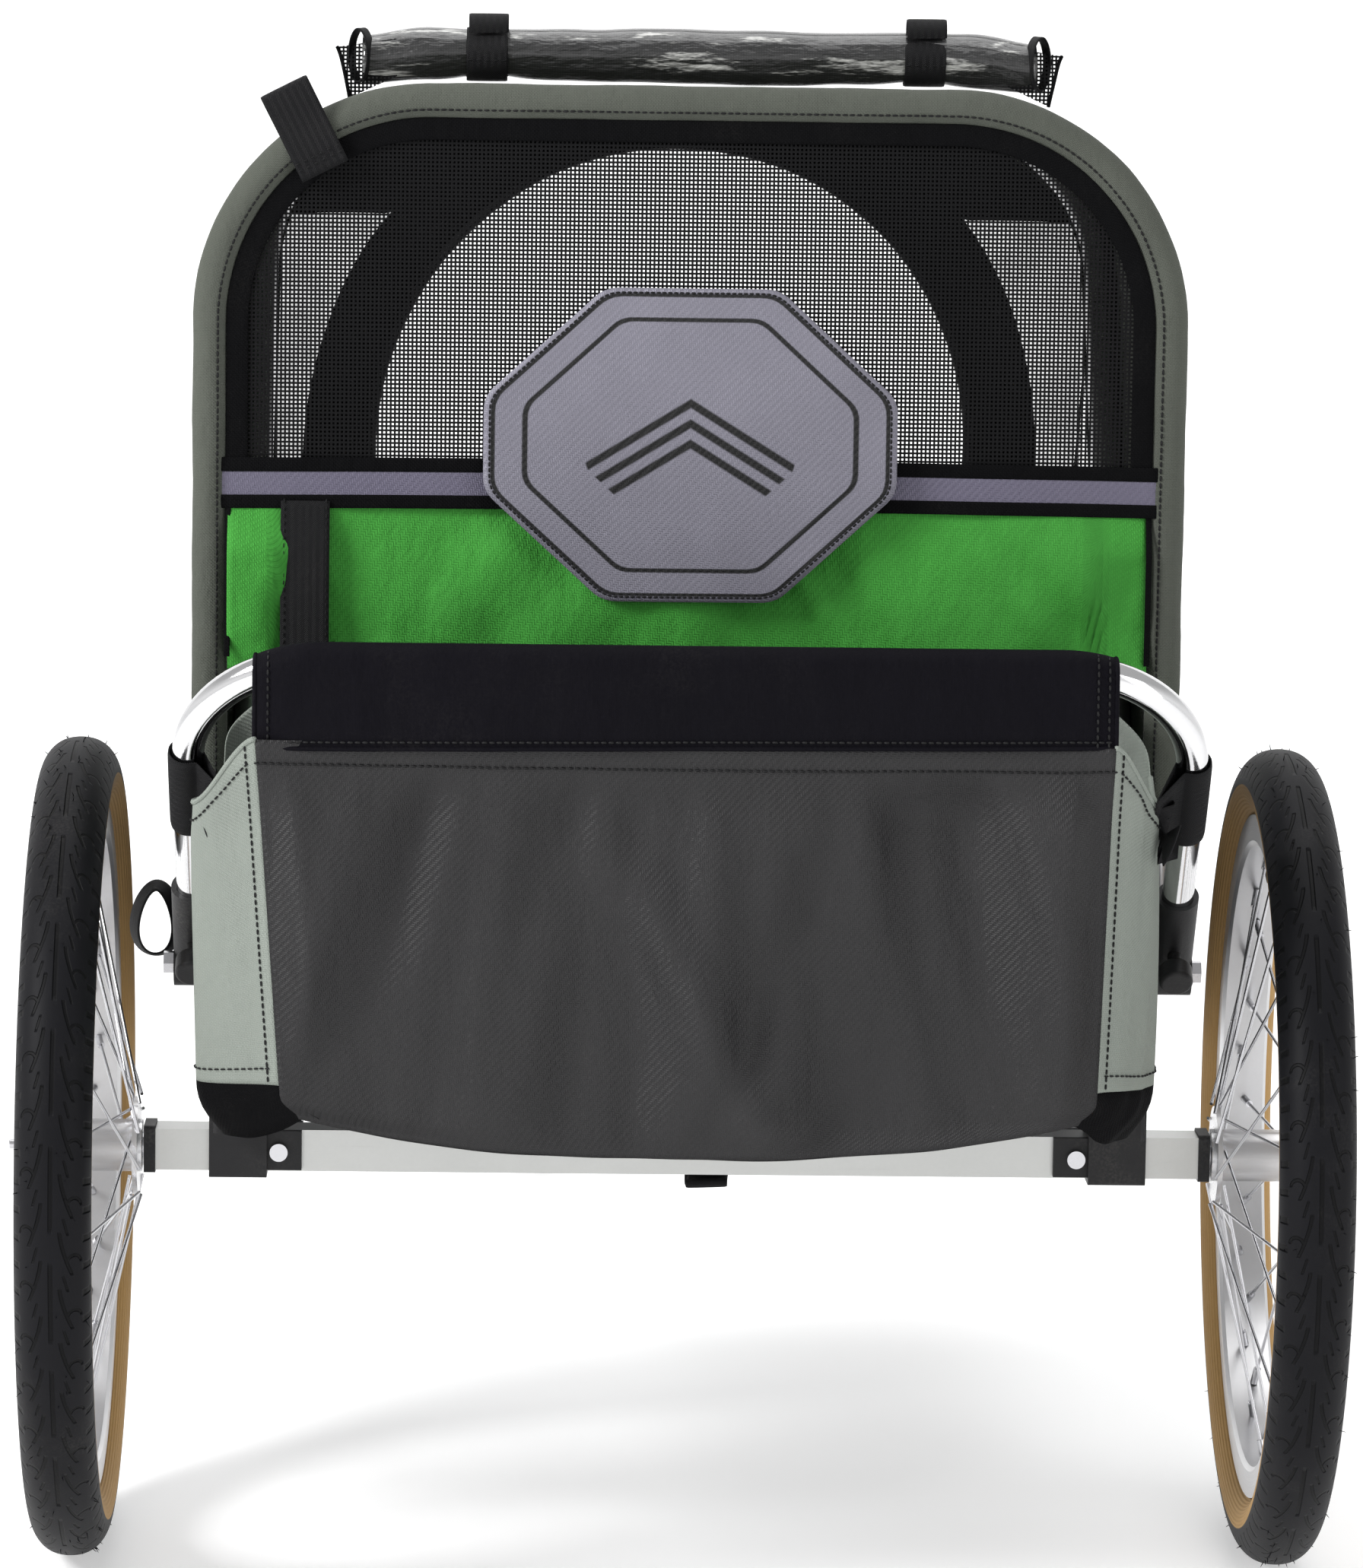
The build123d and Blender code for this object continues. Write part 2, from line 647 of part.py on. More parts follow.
for name, side in sides.items():
    hub = wheel_plane(side)

    with BuildPart() as axle_pin:
        round_bar((side * (bush_inner_x - 2), 0, axle_z), (side * head_inner_x, 0, axle_z), pin_radius)
        round_bar((side * head_inner_x, 0, axle_z), (side * head_outer_x, 0, axle_z), axle_head_radius)
        round_bar((side * collar_x, 0, axle_z), (side * (collar_x + axle_collar_width), 0, axle_z),
                  axle_collar_radius)
        round_bar((side * bore_end_x, 0, axle_z), (side * (head_outer_x + 1), 0, axle_z),
                  button_radius + running_gap, mode=Mode.SUBTRACT)
    finish(axle_pin.part, f"axle_pin_{name}")

    with BuildPart() as release_button:
        round_bar((side * button_inner_x, 0, axle_z),
                  (side * (head_outer_x + button_proud), 0, axle_z), button_radius)
        chamfer(release_button.edges().sort_by(Axis.X)[-1 if side > 0 else 0], 0.6)
    finish(release_button.part, f"release_button_{name}")

    with BuildPart() as button_spring:
        spring_x = bore_end_x + slip_gap
        round_bar((side * spring_x, 0, axle_z), (side * (spring_x + spring_length), 0, axle_z),
                  button_radius - slip_gap, bore=button_radius - 1)
    finish(button_spring.part, f"button_spring_{name}")

    with BuildPart() as tyre:
        with BuildSketch(hub) as casing:
            with Locations((0, tyre_middle)):
                Circle(tyre_width / 2)
                Circle(tyre_width / 2 - tyre_shell, mode=Mode.SUBTRACT)
            cut_top = flange_top + easy_gap
            with Locations((0, cut_top - tyre_width / 2)):
                Rectangle(2 * tyre_width, tyre_width, mode=Mode.SUBTRACT)
            bead_outer = rim_width / 2 - rim_wall - easy_gap
            for edge in (-1, 1):
                with Locations((edge * (bead_outer - bead_width / 2), bead_seat + easy_gap + bead_height / 2)):
                    Rectangle(bead_width, bead_height)
        revolve(casing.sketch, axis=Axis((0, 0, axle_z), (1, 0, 0)))
    finish(tyre.part, f"tyre_{name}")

    with BuildPart() as inner_tube:
        with BuildSketch(hub) as tube_ring:
            with Locations((0, tyre_middle)):
                Circle(inner_tube_radius)
                Circle(inner_tube_radius - inner_tube_wall, mode=Mode.SUBTRACT)
        revolve(tube_ring.sketch, axis=Axis((0, 0, axle_z), (1, 0, 0)))
        valve_angle = math.radians(180 / spoke_count)
        valve_out = Vector(0, math.sin(valve_angle), math.cos(valve_angle))
        valve_base = Vector(side * wheel_x, 0, axle_z)
        valve_top = tyre_middle - inner_tube_radius - easy_gap
        round_bar(valve_base + valve_out * (rim_inner_radius - valve_reach),
                  valve_base + valve_out * valve_top, valve_radius)
    finish(inner_tube.part, f"inner_tube_{name}")

    with BuildPart() as rim:
        half = rim_width / 2
        lip = half - rim_wall
        turned(side, [(-half + 2, rim_inner_radius), (-half, rim_inner_radius + 3), (-half, flange_top),
                      (-lip, flange_top), (-lip, bead_seat), (lip, bead_seat), (lip, flange_top),
                      (half, flange_top), (half, rim_inner_radius + 3), (half - 2, rim_inner_radius)])
        with BuildSketch(hub) as cavity:
            with Locations((0, bead_seat - rim_depth / 2)):
                RectangleRounded(2 * lip - 1, rim_depth - 2 * rim_wall, 2)
        revolve(cavity.sketch, axis=Axis((0, 0, axle_z), (1, 0, 0)), mode=Mode.SUBTRACT)
        round_bar(valve_base + valve_out * (rim_inner_radius - 5),
                  valve_base + valve_out * (bead_seat + 5), valve_radius + slip_gap, mode=Mode.SUBTRACT)
    finish(rim.part, f"rim_{name}")

    with BuildPart() as spokes:
        for number in range(spoke_count):
            hub_end, rim_end = spoke_ends(number)
            start = Vector(side * (wheel_x + hub_end.X), hub_end.Y, axle_z + hub_end.Z)
            end = Vector(side * (wheel_x + rim_end.X), rim_end.Y, axle_z + rim_end.Z)
            joint = end - (end - start).normalized() * nipple_length
            round_bar(start, joint, spoke_radius)
            round_bar(joint, end, nipple_radius)
    finish(spokes.part, f"spokes_{name}")

    with BuildPart() as hub_shell:
        flange_half = flange_thickness / 2
        turned(side, [(-hub_inboard, 0), (-hub_inboard, hub_radius), (-flange_inboard - flange_half, hub_radius),
                      (-flange_inboard - flange_half, flange_radius), (-flange_inboard + flange_half, flange_radius),
                      (-flange_inboard + flange_half, hub_radius), (flange_outboard - flange_half, hub_radius),
                      (flange_outboard - flange_half, flange_radius), (flange_outboard + flange_half, flange_radius),
                      (flange_outboard + flange_half, hub_radius), (hub_outboard, hub_radius), (hub_outboard, 0)])
        round_bar((side * (hub_inner_x - 1), 0, axle_z), (side * (hub_outer_x + 1), 0, axle_z),
                  bearing_radius - 2, mode=Mode.SUBTRACT)
        for end_x, inward in ((hub_inner_x, 1), (hub_outer_x, -1)):
            round_bar((side * end_x, 0, axle_z), (side * (end_x + inward * bearing_width), 0, axle_z),
                      bearing_radius, mode=Mode.SUBTRACT)
    finish(hub_shell.part, f"hub_shell_{name}")

    with BuildPart() as wheel_bearings:
        for end_x, inward in ((hub_inner_x, 1), (hub_outer_x, -1)):
            round_bar((side * end_x, 0, axle_z),
                      (side * (end_x + inward * (bearing_width - press_gap)), 0, axle_z),
                      bearing_radius - press_gap, bore=pin_radius + press_gap)
    finish(wheel_bearings.part, f"wheel_bearings_{name}")

# ---------------------------------------------------------------- rear hoop
hoop_plane = upright_plane(0.0)
hoop_height = hoop_top - hinge_z
bow_lean = math.atan2(bow_top_y - hinge_y, bow_top_z - hinge_z)
bow_plane = upright_plane(bow_lean)
bow_height = math.hypot(bow_top_y - hinge_y, bow_top_z - hinge_z)


def canopy_tube(plane, half_width, height, bend):
    """Add one bow of the canopy, with flattened feet drilled for its hinge bolt."""
    corners = [on_plane(plane, x, y) for x, y in
               ((-half_width, 0), (-half_width, height), (half_width, height), (half_width, 0))]
    bent_tube(corners, bend, tube_radius, tube_wall)
    for side in sides.values():
        inner_x = side * (half_width - tube_radius)
        outer_x = side * (half_width + tube_radius)
        round_bar((inner_x, hinge_y, hinge_z), (outer_x, hinge_y, hinge_z), tube_radius)
        round_bar((inner_x, hinge_y, hinge_z), (outer_x, hinge_y, hinge_z), hinge_bore, mode=Mode.SUBTRACT)


with BuildPart() as hoop_tube:
    canopy_tube(hoop_plane, hoop_half_width, hoop_height, hoop_bend)
finish(hoop_tube.part, "hoop_tube")

with BuildPart() as rear_panel:
    panel_plane = hoop_plane.offset(-fabric / 2)
    panel_half = hoop_half_width - panel_clear
    extrude(arch(panel_plane, panel_half, panel_bottom - hinge_z, hoop_height - panel_clear,
                 hoop_bend - panel_clear), amount=fabric)
    for side in sides.values():
        block((side * (cheek_inner_x - easy_gap), hinge_y - 5, hinge_z),
              (side * (panel_half + 1), hinge_y + 5, panel_step_z), mode=Mode.SUBTRACT)
finish(rear_panel.part, "rear_panel")

back_rear_y = hinge_y + fabric / 2 + easy_gap
with BuildPart() as seat_back:
    block((-back_half_width, back_rear_y, back_bottom),
          (back_half_width, back_rear_y + back_thickness, back_top))
    fillet(seat_back.edges().filter_by(Axis.Y), 18.0)
    fillet(seat_back.edges().group_by(Axis.Y)[-1], back_thickness * 0.3)
finish(seat_back.part, "seat_back")

back_front_y = back_rear_y + back_thickness + easy_gap
with BuildPart() as shoulder_straps:
    for seat_x in seat_places:
        for end in (-1, 1):
            strap_x = seat_x + end * shoulder_spacing / 2
            block((strap_x - strap_width / 2, back_front_y, back_bottom + 10),
                  (strap_x + strap_width / 2, back_front_y + strap_thickness, back_top - 24))
finish(shoulder_straps.part, "shoulder_straps")

tab_x, tab_z = tab_middle
tab_width, tab_height = tab_size
tab_y = hinge_y - tube_radius - easy_gap
with BuildPart() as flag_tab:
    with BuildSketch(Plane.XZ.offset(-tab_y)):
        with Locations(Location((tab_x, tab_z), tab_tilt)):
            Rectangle(tab_width, tab_height)
    extrude(amount=2 * strap_thickness)
finish(flag_tab.part, "flag_tab")

# ---------------------------------------------------------------- front bow and the rolled cover
with BuildPart() as bow_tube:
    canopy_tube(bow_plane, bow_half_width, bow_height, bow_bend)
finish(bow_tube.part, "bow_tube")

roof_clear = panel_clear + roof_slack
roof_crest = on_plane(bow_plane, 0, bow_height + roof_clear + fabric)
roll_z = roof_crest.Z + 4 * easy_gap + roll_radius + strap_thickness + easy_gap
with BuildPart() as rolled_cover:
    round_bar((roll_left, bow_top_y, roll_z), (roll_right, bow_top_y, roll_z), roll_radius)
    fillet(rolled_cover.edges(), roll_radius * 0.5)
finish(rolled_cover.part, "rolled_cover")

strap_inside = roll_radius + easy_gap
with BuildPart() as cover_straps:
    for strap_x in roll_strap_x:
        round_bar((strap_x - roll_strap_width / 2, bow_top_y, roll_z),
                  (strap_x + roll_strap_width / 2, bow_top_y, roll_z),
                  strap_inside + strap_thickness, bore=strap_inside)
finish(cover_straps.part, "cover_straps")

# ---------------------------------------------------------------- canopy fabric
hoop_roof = hoop_height + panel_clear
hoop_side = hoop_half_width + hoop_fabric_clear
bow_roof = bow_height + roof_clear
bow_side = bow_half_width + roof_clear
with BuildPart() as canopy_roof:
    loft([arch(hoop_plane, hoop_side + fabric, canopy_start, hoop_roof + fabric, hoop_bend + roof_clear + fabric),
          arch(bow_plane, bow_side + fabric, canopy_start, bow_roof + fabric, bow_bend + roof_clear + fabric)],
         ruled=True)
    loft([arch(hoop_plane, hoop_side, canopy_start - 10, hoop_roof, hoop_bend + roof_clear),
          arch(bow_plane, bow_side, canopy_start - 10, bow_roof, bow_bend + roof_clear)],
         ruled=True, mode=Mode.SUBTRACT)
finish(canopy_roof.part, "canopy_roof")

# The front panel leans back from the tub's front edge until it touches the bow's crossbar.
foot_to_bow = Vector(0, bow_top_y - front_foot_y, bow_top_z - front_foot_z)
reach = foot_to_bow.length
front_lean = math.atan2(-foot_to_bow.Y, foot_to_bow.Z) - math.asin(panel_clear / reach)
front_plane = Plane(origin=(0, front_foot_y, front_foot_z), x_dir=(1, 0, 0),
                    z_dir=(0, -math.cos(front_lean), -math.sin(front_lean)))
front_height = math.sqrt(reach ** 2 - panel_clear ** 2)
front_half_width = window_x - easy_gap

with BuildPart() as front_panel:
    extrude(arch(front_plane, front_half_width, 0, front_height, bow_bend), amount=-fabric)
    opening_height = front_height - opening_crown
    extrude(arch(front_plane, opening_half_width, opening_sill, opening_height, opening_half_width * 0.96),
            amount=-fabric, mode=Mode.SUBTRACT)
finish(front_panel.part, "front_panel")

with BuildPart() as side_windows:
    for side in sides.values():
        bow_foot = on_plane(bow_plane, 0, canopy_start)
        bow_high = on_plane(bow_plane, 0, bow_height - bow_bend)
        front_high = on_plane(front_plane, 0, front_height - bow_bend)
        with BuildSketch(Plane.YZ.offset(side * window_x)):
            with BuildLine():
                Polyline((bow_foot.Y, bow_foot.Z), (bow_high.Y, bow_high.Z), (front_high.Y, front_high.Z),
                         (front_foot_y, front_foot_z), (bow_foot.Y + 10, front_foot_z), close=True)
            make_face()
        extrude(amount=side * fabric)
finish(side_windows.part, "side_windows")

# ---------------------------------------------------------------- push bar
bar_run = Vector(0, bar_top_y - bar_hinge_y, bar_top_z - bar_hinge_z)
bar_reach = bar_run.length
bar_lean = math.atan2(bar_run.Y, bar_run.Z)
bar_plane = Plane(origin=(0, bar_hinge_y, bar_hinge_z), x_dir=(1, 0, 0),
                  z_dir=(0, -math.cos(bar_lean), math.sin(bar_lean)))

with BuildPart() as bar_tube:
    corners = [on_plane(bar_plane, x, y) for x, y in
               ((-bar_half_width, bar_start), (-bar_half_width, bar_reach),
                (bar_half_width, bar_reach), (bar_half_width, bar_start))]
    bent_tube(corners, bar_bend, tube_radius, tube_wall)
finish(bar_tube.part, "bar_tube")

with BuildPart() as bar_sockets:
    for side in sides.values():
        socket_x = side * bar_half_width
        inner_x = side * (bar_half_width - knuckle_half)
        outer_x = side * (bar_half_width + knuckle_half - easy_gap)
        round_bar(on_plane(bar_plane, socket_x, 0), on_plane(bar_plane, socket_x, socket_reach), socket_radius)
        round_bar((inner_x, bar_hinge_y, bar_hinge_z), (outer_x, bar_hinge_y, bar_hinge_z), knuckle_radius)
        round_bar(on_plane(bar_plane, socket_x, bar_start - easy_gap),
                  on_plane(bar_plane, socket_x, socket_reach + 1), tube_radius + slip_gap, mode=Mode.SUBTRACT)
        round_bar((side * (bar_half_width - 20), bar_hinge_y, bar_hinge_z),
                  (side * (bar_half_width + 20), bar_hinge_y, bar_hinge_z), hinge_bore, mode=Mode.SUBTRACT)
        knob_axis = bar_plane.offset(socket_radius + 1)
        round_bar(on_plane(bar_plane, socket_x, knob_reach), on_plane(knob_axis, socket_x, knob_reach),
                  knob_stem_radius + running_gap, mode=Mode.SUBTRACT)
finish(bar_sockets.part, "bar_sockets")

bar_middle = on_plane(bar_plane, 0, bar_reach)
flap_inside = tube_radius + easy_gap
with BuildPart() as bag_flap:
    round_bar((-flap_sleeve_half, bar_middle.Y, bar_middle.Z), (flap_sleeve_half, bar_middle.Y, bar_middle.Z),
              flap_inside + flap_thickness)
    block((flap_left, bar_middle.Y - flap_inside - flap_thickness, flap_hem_z),
          (flap_right, bar_middle.Y - flap_inside, bar_middle.Z))
    round_bar((flap_left, bar_middle.Y, bar_middle.Z), (flap_right, bar_middle.Y, bar_middle.Z),
              flap_inside, mode=Mode.SUBTRACT)
finish(bag_flap.part, "bag_flap")

with BuildPart() as bag_loops:
    for side in sides.values():
        loop_x = side * bar_half_width
        round_bar(on_plane(bar_plane, loop_x, loop_end - loop_length),
                  on_plane(bar_plane, loop_x, loop_end), flap_inside + strap_thickness, bore=flap_inside)
finish(bag_loops.part, "bag_loops")

stem_plane = bar_plane.offset(tube_radius + slip_gap + easy_gap)
knob_plane = bar_plane.offset(socket_radius + knob_gap)
knob_end_plane = bar_plane.offset(socket_radius + knob_gap + knob_length)
for name, side in sides.items():
    with BuildPart() as lock_knob:
        knob_x = side * bar_half_width
        round_bar(on_plane(knob_plane, knob_x, knob_reach), on_plane(knob_end_plane, knob_x, knob_reach),
                  knob_radius)
        fillet(lock_knob.edges(), 2.5)
        round_bar(on_plane(stem_plane, knob_x, knob_reach), on_plane(knob_plane, knob_x, knob_reach),
                  knob_stem_radius)
    finish(lock_knob.part, f"lock_knob_{name}")

# ---------------------------------------------------------------- tow arm
arm_drop = arm_hinge_z - (fork_low + fork_high) / 2
arm_slope = math.asin(arm_drop / (arm_length + 16))
arm_plane = Plane(origin=(0, arm_hinge_y, arm_hinge_z), x_dir=(1, 0, 0),
                  z_dir=(0, math.sin(arm_slope), math.cos(arm_slope)))

with BuildPart() as arm_tube:
    corners = [on_plane(arm_plane, x, y) for x, y in
               ((-rail_x, arm_start), (-rail_x, arm_straight), (hitch_x, arm_return), (hitch_x, arm_length))]
    bent_tube(corners, arm_bend, arm_radius, arm_wall)
finish(arm_tube.part, "arm_tube")

arm_end = on_plane(arm_plane, hitch_x, arm_length)
fork_rear = arm_end.Y - 18
with BuildPart() as arm_fittings:
    round_bar((-rail_x - receiver_gap + easy_gap, arm_hinge_y, arm_hinge_z),
              (-rail_x + receiver_gap - easy_gap, arm_hinge_y, arm_hinge_z), arm_radius + 0.6)
    round_bar(on_plane(arm_plane, -rail_x, 0), on_plane(arm_plane, -rail_x, arm_start + 30),
              arm_radius - arm_wall - slip_gap)
    round_bar((-rail_x - 20, arm_hinge_y, arm_hinge_z), (-rail_x + 20, arm_hinge_y, arm_hinge_z),
              hinge_bore, mode=Mode.SUBTRACT)
    block((hitch_x - fork_radius, fork_rear, fork_low),
          (hitch_x + fork_radius, hitch_hinge_y - fork_radius - 2, fork_high))
    fillet(arm_fittings.edges().filter_by(Axis.Y).group_by(Axis.Y)[-1], 4.0)
    for ear_z in (fork_low, fork_high - fork_ear):
        with BuildSketch(Plane.XY.offset(ear_z)):
            with Locations((hitch_x, hitch_hinge_y)):
                Circle(fork_radius)
            with Locations((hitch_x, hitch_hinge_y - fork_radius)):
                Rectangle(2 * fork_radius, 2 * fork_radius)
        extrude(amount=fork_ear)
    round_bar((hitch_x, hitch_hinge_y, fork_low), (hitch_x, hitch_hinge_y, fork_high), hitch_pin_radius)
    round_bar(on_plane(arm_plane, hitch_x, arm_length - 60), on_plane(arm_plane, hitch_x, arm_length + slip_gap),
              arm_radius + slip_gap, mode=Mode.SUBTRACT)
finish(arm_fittings.part, "arm_fittings")

barrel_low = fork_low + fork_ear + easy_gap
barrel_high = fork_high - fork_ear - easy_gap
with BuildPart() as hitch_coupler:
    round_bar((hitch_x, hitch_hinge_y, barrel_low), (hitch_x, hitch_hinge_y, barrel_high), fork_radius - 3)
    block((hitch_x - hitch_plate, hitch_hinge_y, barrel_low),
          (hitch_x + hitch_plate, hitch_eye_y - hitch_eye_radius, barrel_high))
    with BuildSketch(Plane.YZ.offset(hitch_x - hitch_plate / 2)):
        with Locations((hitch_eye_y, hitch_eye_radius)):
            Circle(hitch_eye_radius)
        with Locations((hitch_eye_y - hitch_eye_radius, hitch_eye_radius + 5)):
            Rectangle(2 * hitch_eye_radius, 2 * hitch_eye_radius - 10)
    extrude(amount=hitch_plate)
    round_bar((hitch_x, hitch_hinge_y, 0), (hitch_x, hitch_hinge_y, fork_high),
              hitch_pin_radius + running_gap, mode=Mode.SUBTRACT)
    round_bar((hitch_x - 20, hitch_eye_y, hitch_eye_radius), (hitch_x + 20, hitch_eye_y, hitch_eye_radius),
              hitch_bore, mode=Mode.SUBTRACT)
finish(hitch_coupler.part, "hitch_coupler")
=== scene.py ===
"""Child bicycle trailer: the cloth, rubber and metal of its pieces, laid out as a Blender add-on.

Sizes are in metres. X is across, Y is the way the trailer travels and Z is up, as in the frame.
"""

import bmesh
import bpy
import numpy as np
from bpy.props import FloatProperty, FloatVectorProperty, IntProperty, PointerProperty
from mathutils import Matrix, Vector


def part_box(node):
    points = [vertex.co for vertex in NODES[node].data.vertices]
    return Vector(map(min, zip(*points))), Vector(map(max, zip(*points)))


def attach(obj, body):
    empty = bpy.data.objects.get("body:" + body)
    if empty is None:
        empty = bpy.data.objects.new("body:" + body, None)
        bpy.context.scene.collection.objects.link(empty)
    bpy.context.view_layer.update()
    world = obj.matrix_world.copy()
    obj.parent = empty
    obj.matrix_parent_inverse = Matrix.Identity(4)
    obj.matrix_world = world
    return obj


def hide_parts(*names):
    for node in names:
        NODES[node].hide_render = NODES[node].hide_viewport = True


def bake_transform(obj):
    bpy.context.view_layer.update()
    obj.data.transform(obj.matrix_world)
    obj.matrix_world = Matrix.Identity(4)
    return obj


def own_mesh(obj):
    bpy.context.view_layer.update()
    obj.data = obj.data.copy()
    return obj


bl_info = {
    "name": "Bicycle trailer finish",
    "version": (1, 0, 0),
    "blender": (4, 5, 0),
    "location": "View3D > Sidebar > Trailer",
    "description": "Builds the fabric, tyres and finishes of a child bicycle trailer on its frame",
    "category": "Object",
}

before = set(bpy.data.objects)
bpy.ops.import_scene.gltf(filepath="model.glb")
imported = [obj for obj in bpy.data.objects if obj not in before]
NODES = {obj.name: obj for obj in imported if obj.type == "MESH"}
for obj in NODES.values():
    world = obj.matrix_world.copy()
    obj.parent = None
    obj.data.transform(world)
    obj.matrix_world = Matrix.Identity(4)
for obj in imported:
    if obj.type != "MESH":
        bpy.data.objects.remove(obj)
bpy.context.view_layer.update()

TUBE = 0.0095
HOOP_LOW, HOOP_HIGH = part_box("hoop_tube")
BOW_LOW, BOW_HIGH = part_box("bow_tube")
BAR_LOW, BAR_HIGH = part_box("bar_tube")
HINGE = (0.0, (HOOP_LOW.y + HOOP_HIGH.y) / 2, HOOP_LOW.z + TUBE)
BAR_HINGE = (0.0, -0.080, 0.377)
AXLE_Z = 0.250
SIDES = {"left": -1.0, "right": 1.0}


# ---------------------------------------------------------------- mesh from grids
def spread(points, axis):
    """Mean distance run along one axis of a grid of points, starting at 0."""
    step = np.linalg.norm(np.diff(points, axis=axis), axis=-1)
    other = tuple(k for k in range(3) if k != axis)
    return np.concatenate([[0.0], np.cumsum(step.mean(axis=other))])


def grid(points, closed=(False, False), uv=None, material=0, inside=None):
    """One or many grids of points, (many, rows, columns, 3), as a part for build().

    Each face joins points (i, j), (i+1, j), (i+1, j+1) and (i, j+1). Without uv, U and V are the mean
    distances run along the rows and columns. Faces are turned to face away from inside, which for a
    closed surface may be any point.
    """
    points = np.asarray(points, float)
    if points.ndim == 3:
        points = points[None]
    many, rows, cols = points.shape[:3]
    k, i, j = np.meshgrid(np.arange(many), np.arange(rows - (not closed[0])),
                          np.arange(cols - (not closed[1])), indexing="ij")
    corners = [(i, j), (i + 1, j), (i + 1, j + 1), (i, j + 1)]
    faces = np.stack([(k * rows + a % rows) * cols + b % cols for a, b in corners], -1).reshape(-1, 4)
    if uv is None:
        wrapped = np.concatenate([points, points[:, :1]], 1) if closed[0] else points
        wrapped = np.concatenate([wrapped, wrapped[:, :, :1]], 2) if closed[1] else wrapped
        u, v = spread(wrapped, 1), spread(wrapped, 2)
        uv = np.broadcast_to(np.stack(np.meshgrid(u, v, indexing="ij"), -1), (many, len(u), len(v), 2))
    elif uv.ndim == 3:
        uv = np.broadcast_to(uv, (many,) + uv.shape)
    loops = np.stack([uv[k, a, b] for a, b in corners], 3).reshape(-1, 4, 2)
    flat = points.reshape(-1, 3)
    p = flat[faces]
    middle = flat.mean(0) if inside is None else np.asarray(inside, float)
    facing = np.cross(p[:, 2] - p[:, 0], p[:, 3] - p[:, 1])
    if (facing * (p.mean(1) - middle)).sum() < 0:
        faces, loops = faces[:, ::-1], loops[:, ::-1]
    return {"points": flat, "faces": faces, "uv": loops, "material": material}


def build(name, parts, materials, merge=1e-6):
    """One object from several grids, with its doubled points merged, its UV map and its materials."""
    start = np.cumsum([0] + [len(p["points"]) for p in parts])
    faces = np.concatenate([p["faces"] + s for p, s in zip(parts, start)])
    mesh = bpy.data.meshes.new(name)
    mesh.from_pydata(np.concatenate([p["points"] for p in parts]), [], faces)
    mesh.uv_layers.new(name="UVMap").data.foreach_set(
        "uv", np.concatenate([p["uv"] for p in parts]).ravel())
    mesh.polygons.foreach_set(
        "material_index", np.concatenate([np.full(len(p["faces"]), p["material"]) for p in parts]))
    for material in materials:
        mesh.materials.append(material)
    if merge:
        work = bmesh.new()
        work.from_mesh(mesh)
        bmesh.ops.remove_doubles(work, verts=work.verts, dist=merge)
        work.to_mesh(mesh)
        work.free()
    mesh.shade_smooth()
    obj = bpy.data.objects.new(name, mesh)
    bpy.context.scene.collection.objects.link(obj)
    return obj


def thicken(obj, thickness, offset=0.0):
    """Give a sheet its thickness."""
    solid = obj.modifiers.new("Thickness", "SOLIDIFY")
    solid.thickness, solid.offset = thickness, offset
    return obj


def unit(v):
    """Vectors scaled to length 1."""
    return v / np.maximum(np.linalg.norm(v, axis=-1, keepdims=True), 1e-12)


def smooth(x, low, high):
    """Smoothstep: 3t^2 - 2t^3 of x's place between low and high, held at 0 and 1 outside them."""
    t = np.clip((x - low) / (high - low), 0, 1)
    return t * t * (3 - 2 * t)


def ripples(u, v, seed, longest, shortest, waves=9, turn=(0.0, np.pi)):
    """Sum of sine waves whose lengths fall from longest to shortest, each as high as it is long, in
    seeded directions between the two angles of turn; about -1 to 1."""
    random = np.random.default_rng(seed)
    size = np.geomspace(longest, shortest, waves)
    angle = random.uniform(*turn, waves)
    phase = random.uniform(0, 2 * np.pi, waves)
    total = sum(s * np.sin(2 * np.pi / s * (u * np.cos(a) + v * np.sin(a)) + f)
                for s, a, f in zip(size, angle, phase))
    return total / (size.sum() * 0.6)


def along(path, count, values=None):
    """A path's points, or the values that go with them, at places spaced evenly by distance."""
    path = np.asarray(path, float)
    values = path if values is None else np.broadcast_to(np.asarray(values, float), path.shape)
    run = np.concatenate([[0.0], np.cumsum(np.linalg.norm(np.diff(path, axis=0), axis=1))])
    at = np.linspace(0, run[-1], count)
    return np.stack([np.interp(at, run, values[:, k]) for k in range(3)], 1)


def rounded(corners, radius, steps=8, closed=False):
    """A path through corners, each replaced by a curve that starts and ends radius before and after
    it: (1-t)^2 A + 2t(1-t) corner + t^2 B."""
    corners = np.asarray(corners, float)
    out = [] if closed else [corners[:1]]
    order = range(len(corners)) if closed else range(1, len(corners) - 1)
    t = np.linspace(0, 1, steps)[:, None]
    for k in order:
        here, before, after = corners[k], corners[k - 1], corners[(k + 1) % len(corners)]
        reach = min(radius, np.linalg.norm(before - here) / 2.01, np.linalg.norm(after - here) / 2.01)
        a = here + unit(before - here) * reach
        b = here + unit(after - here) * reach
        out.append((1 - t) ** 2 * a + 2 * t * (1 - t) * here + t ** 2 * b)
    if not closed:
        out.append(corners[-1:])
    return np.concatenate(out)


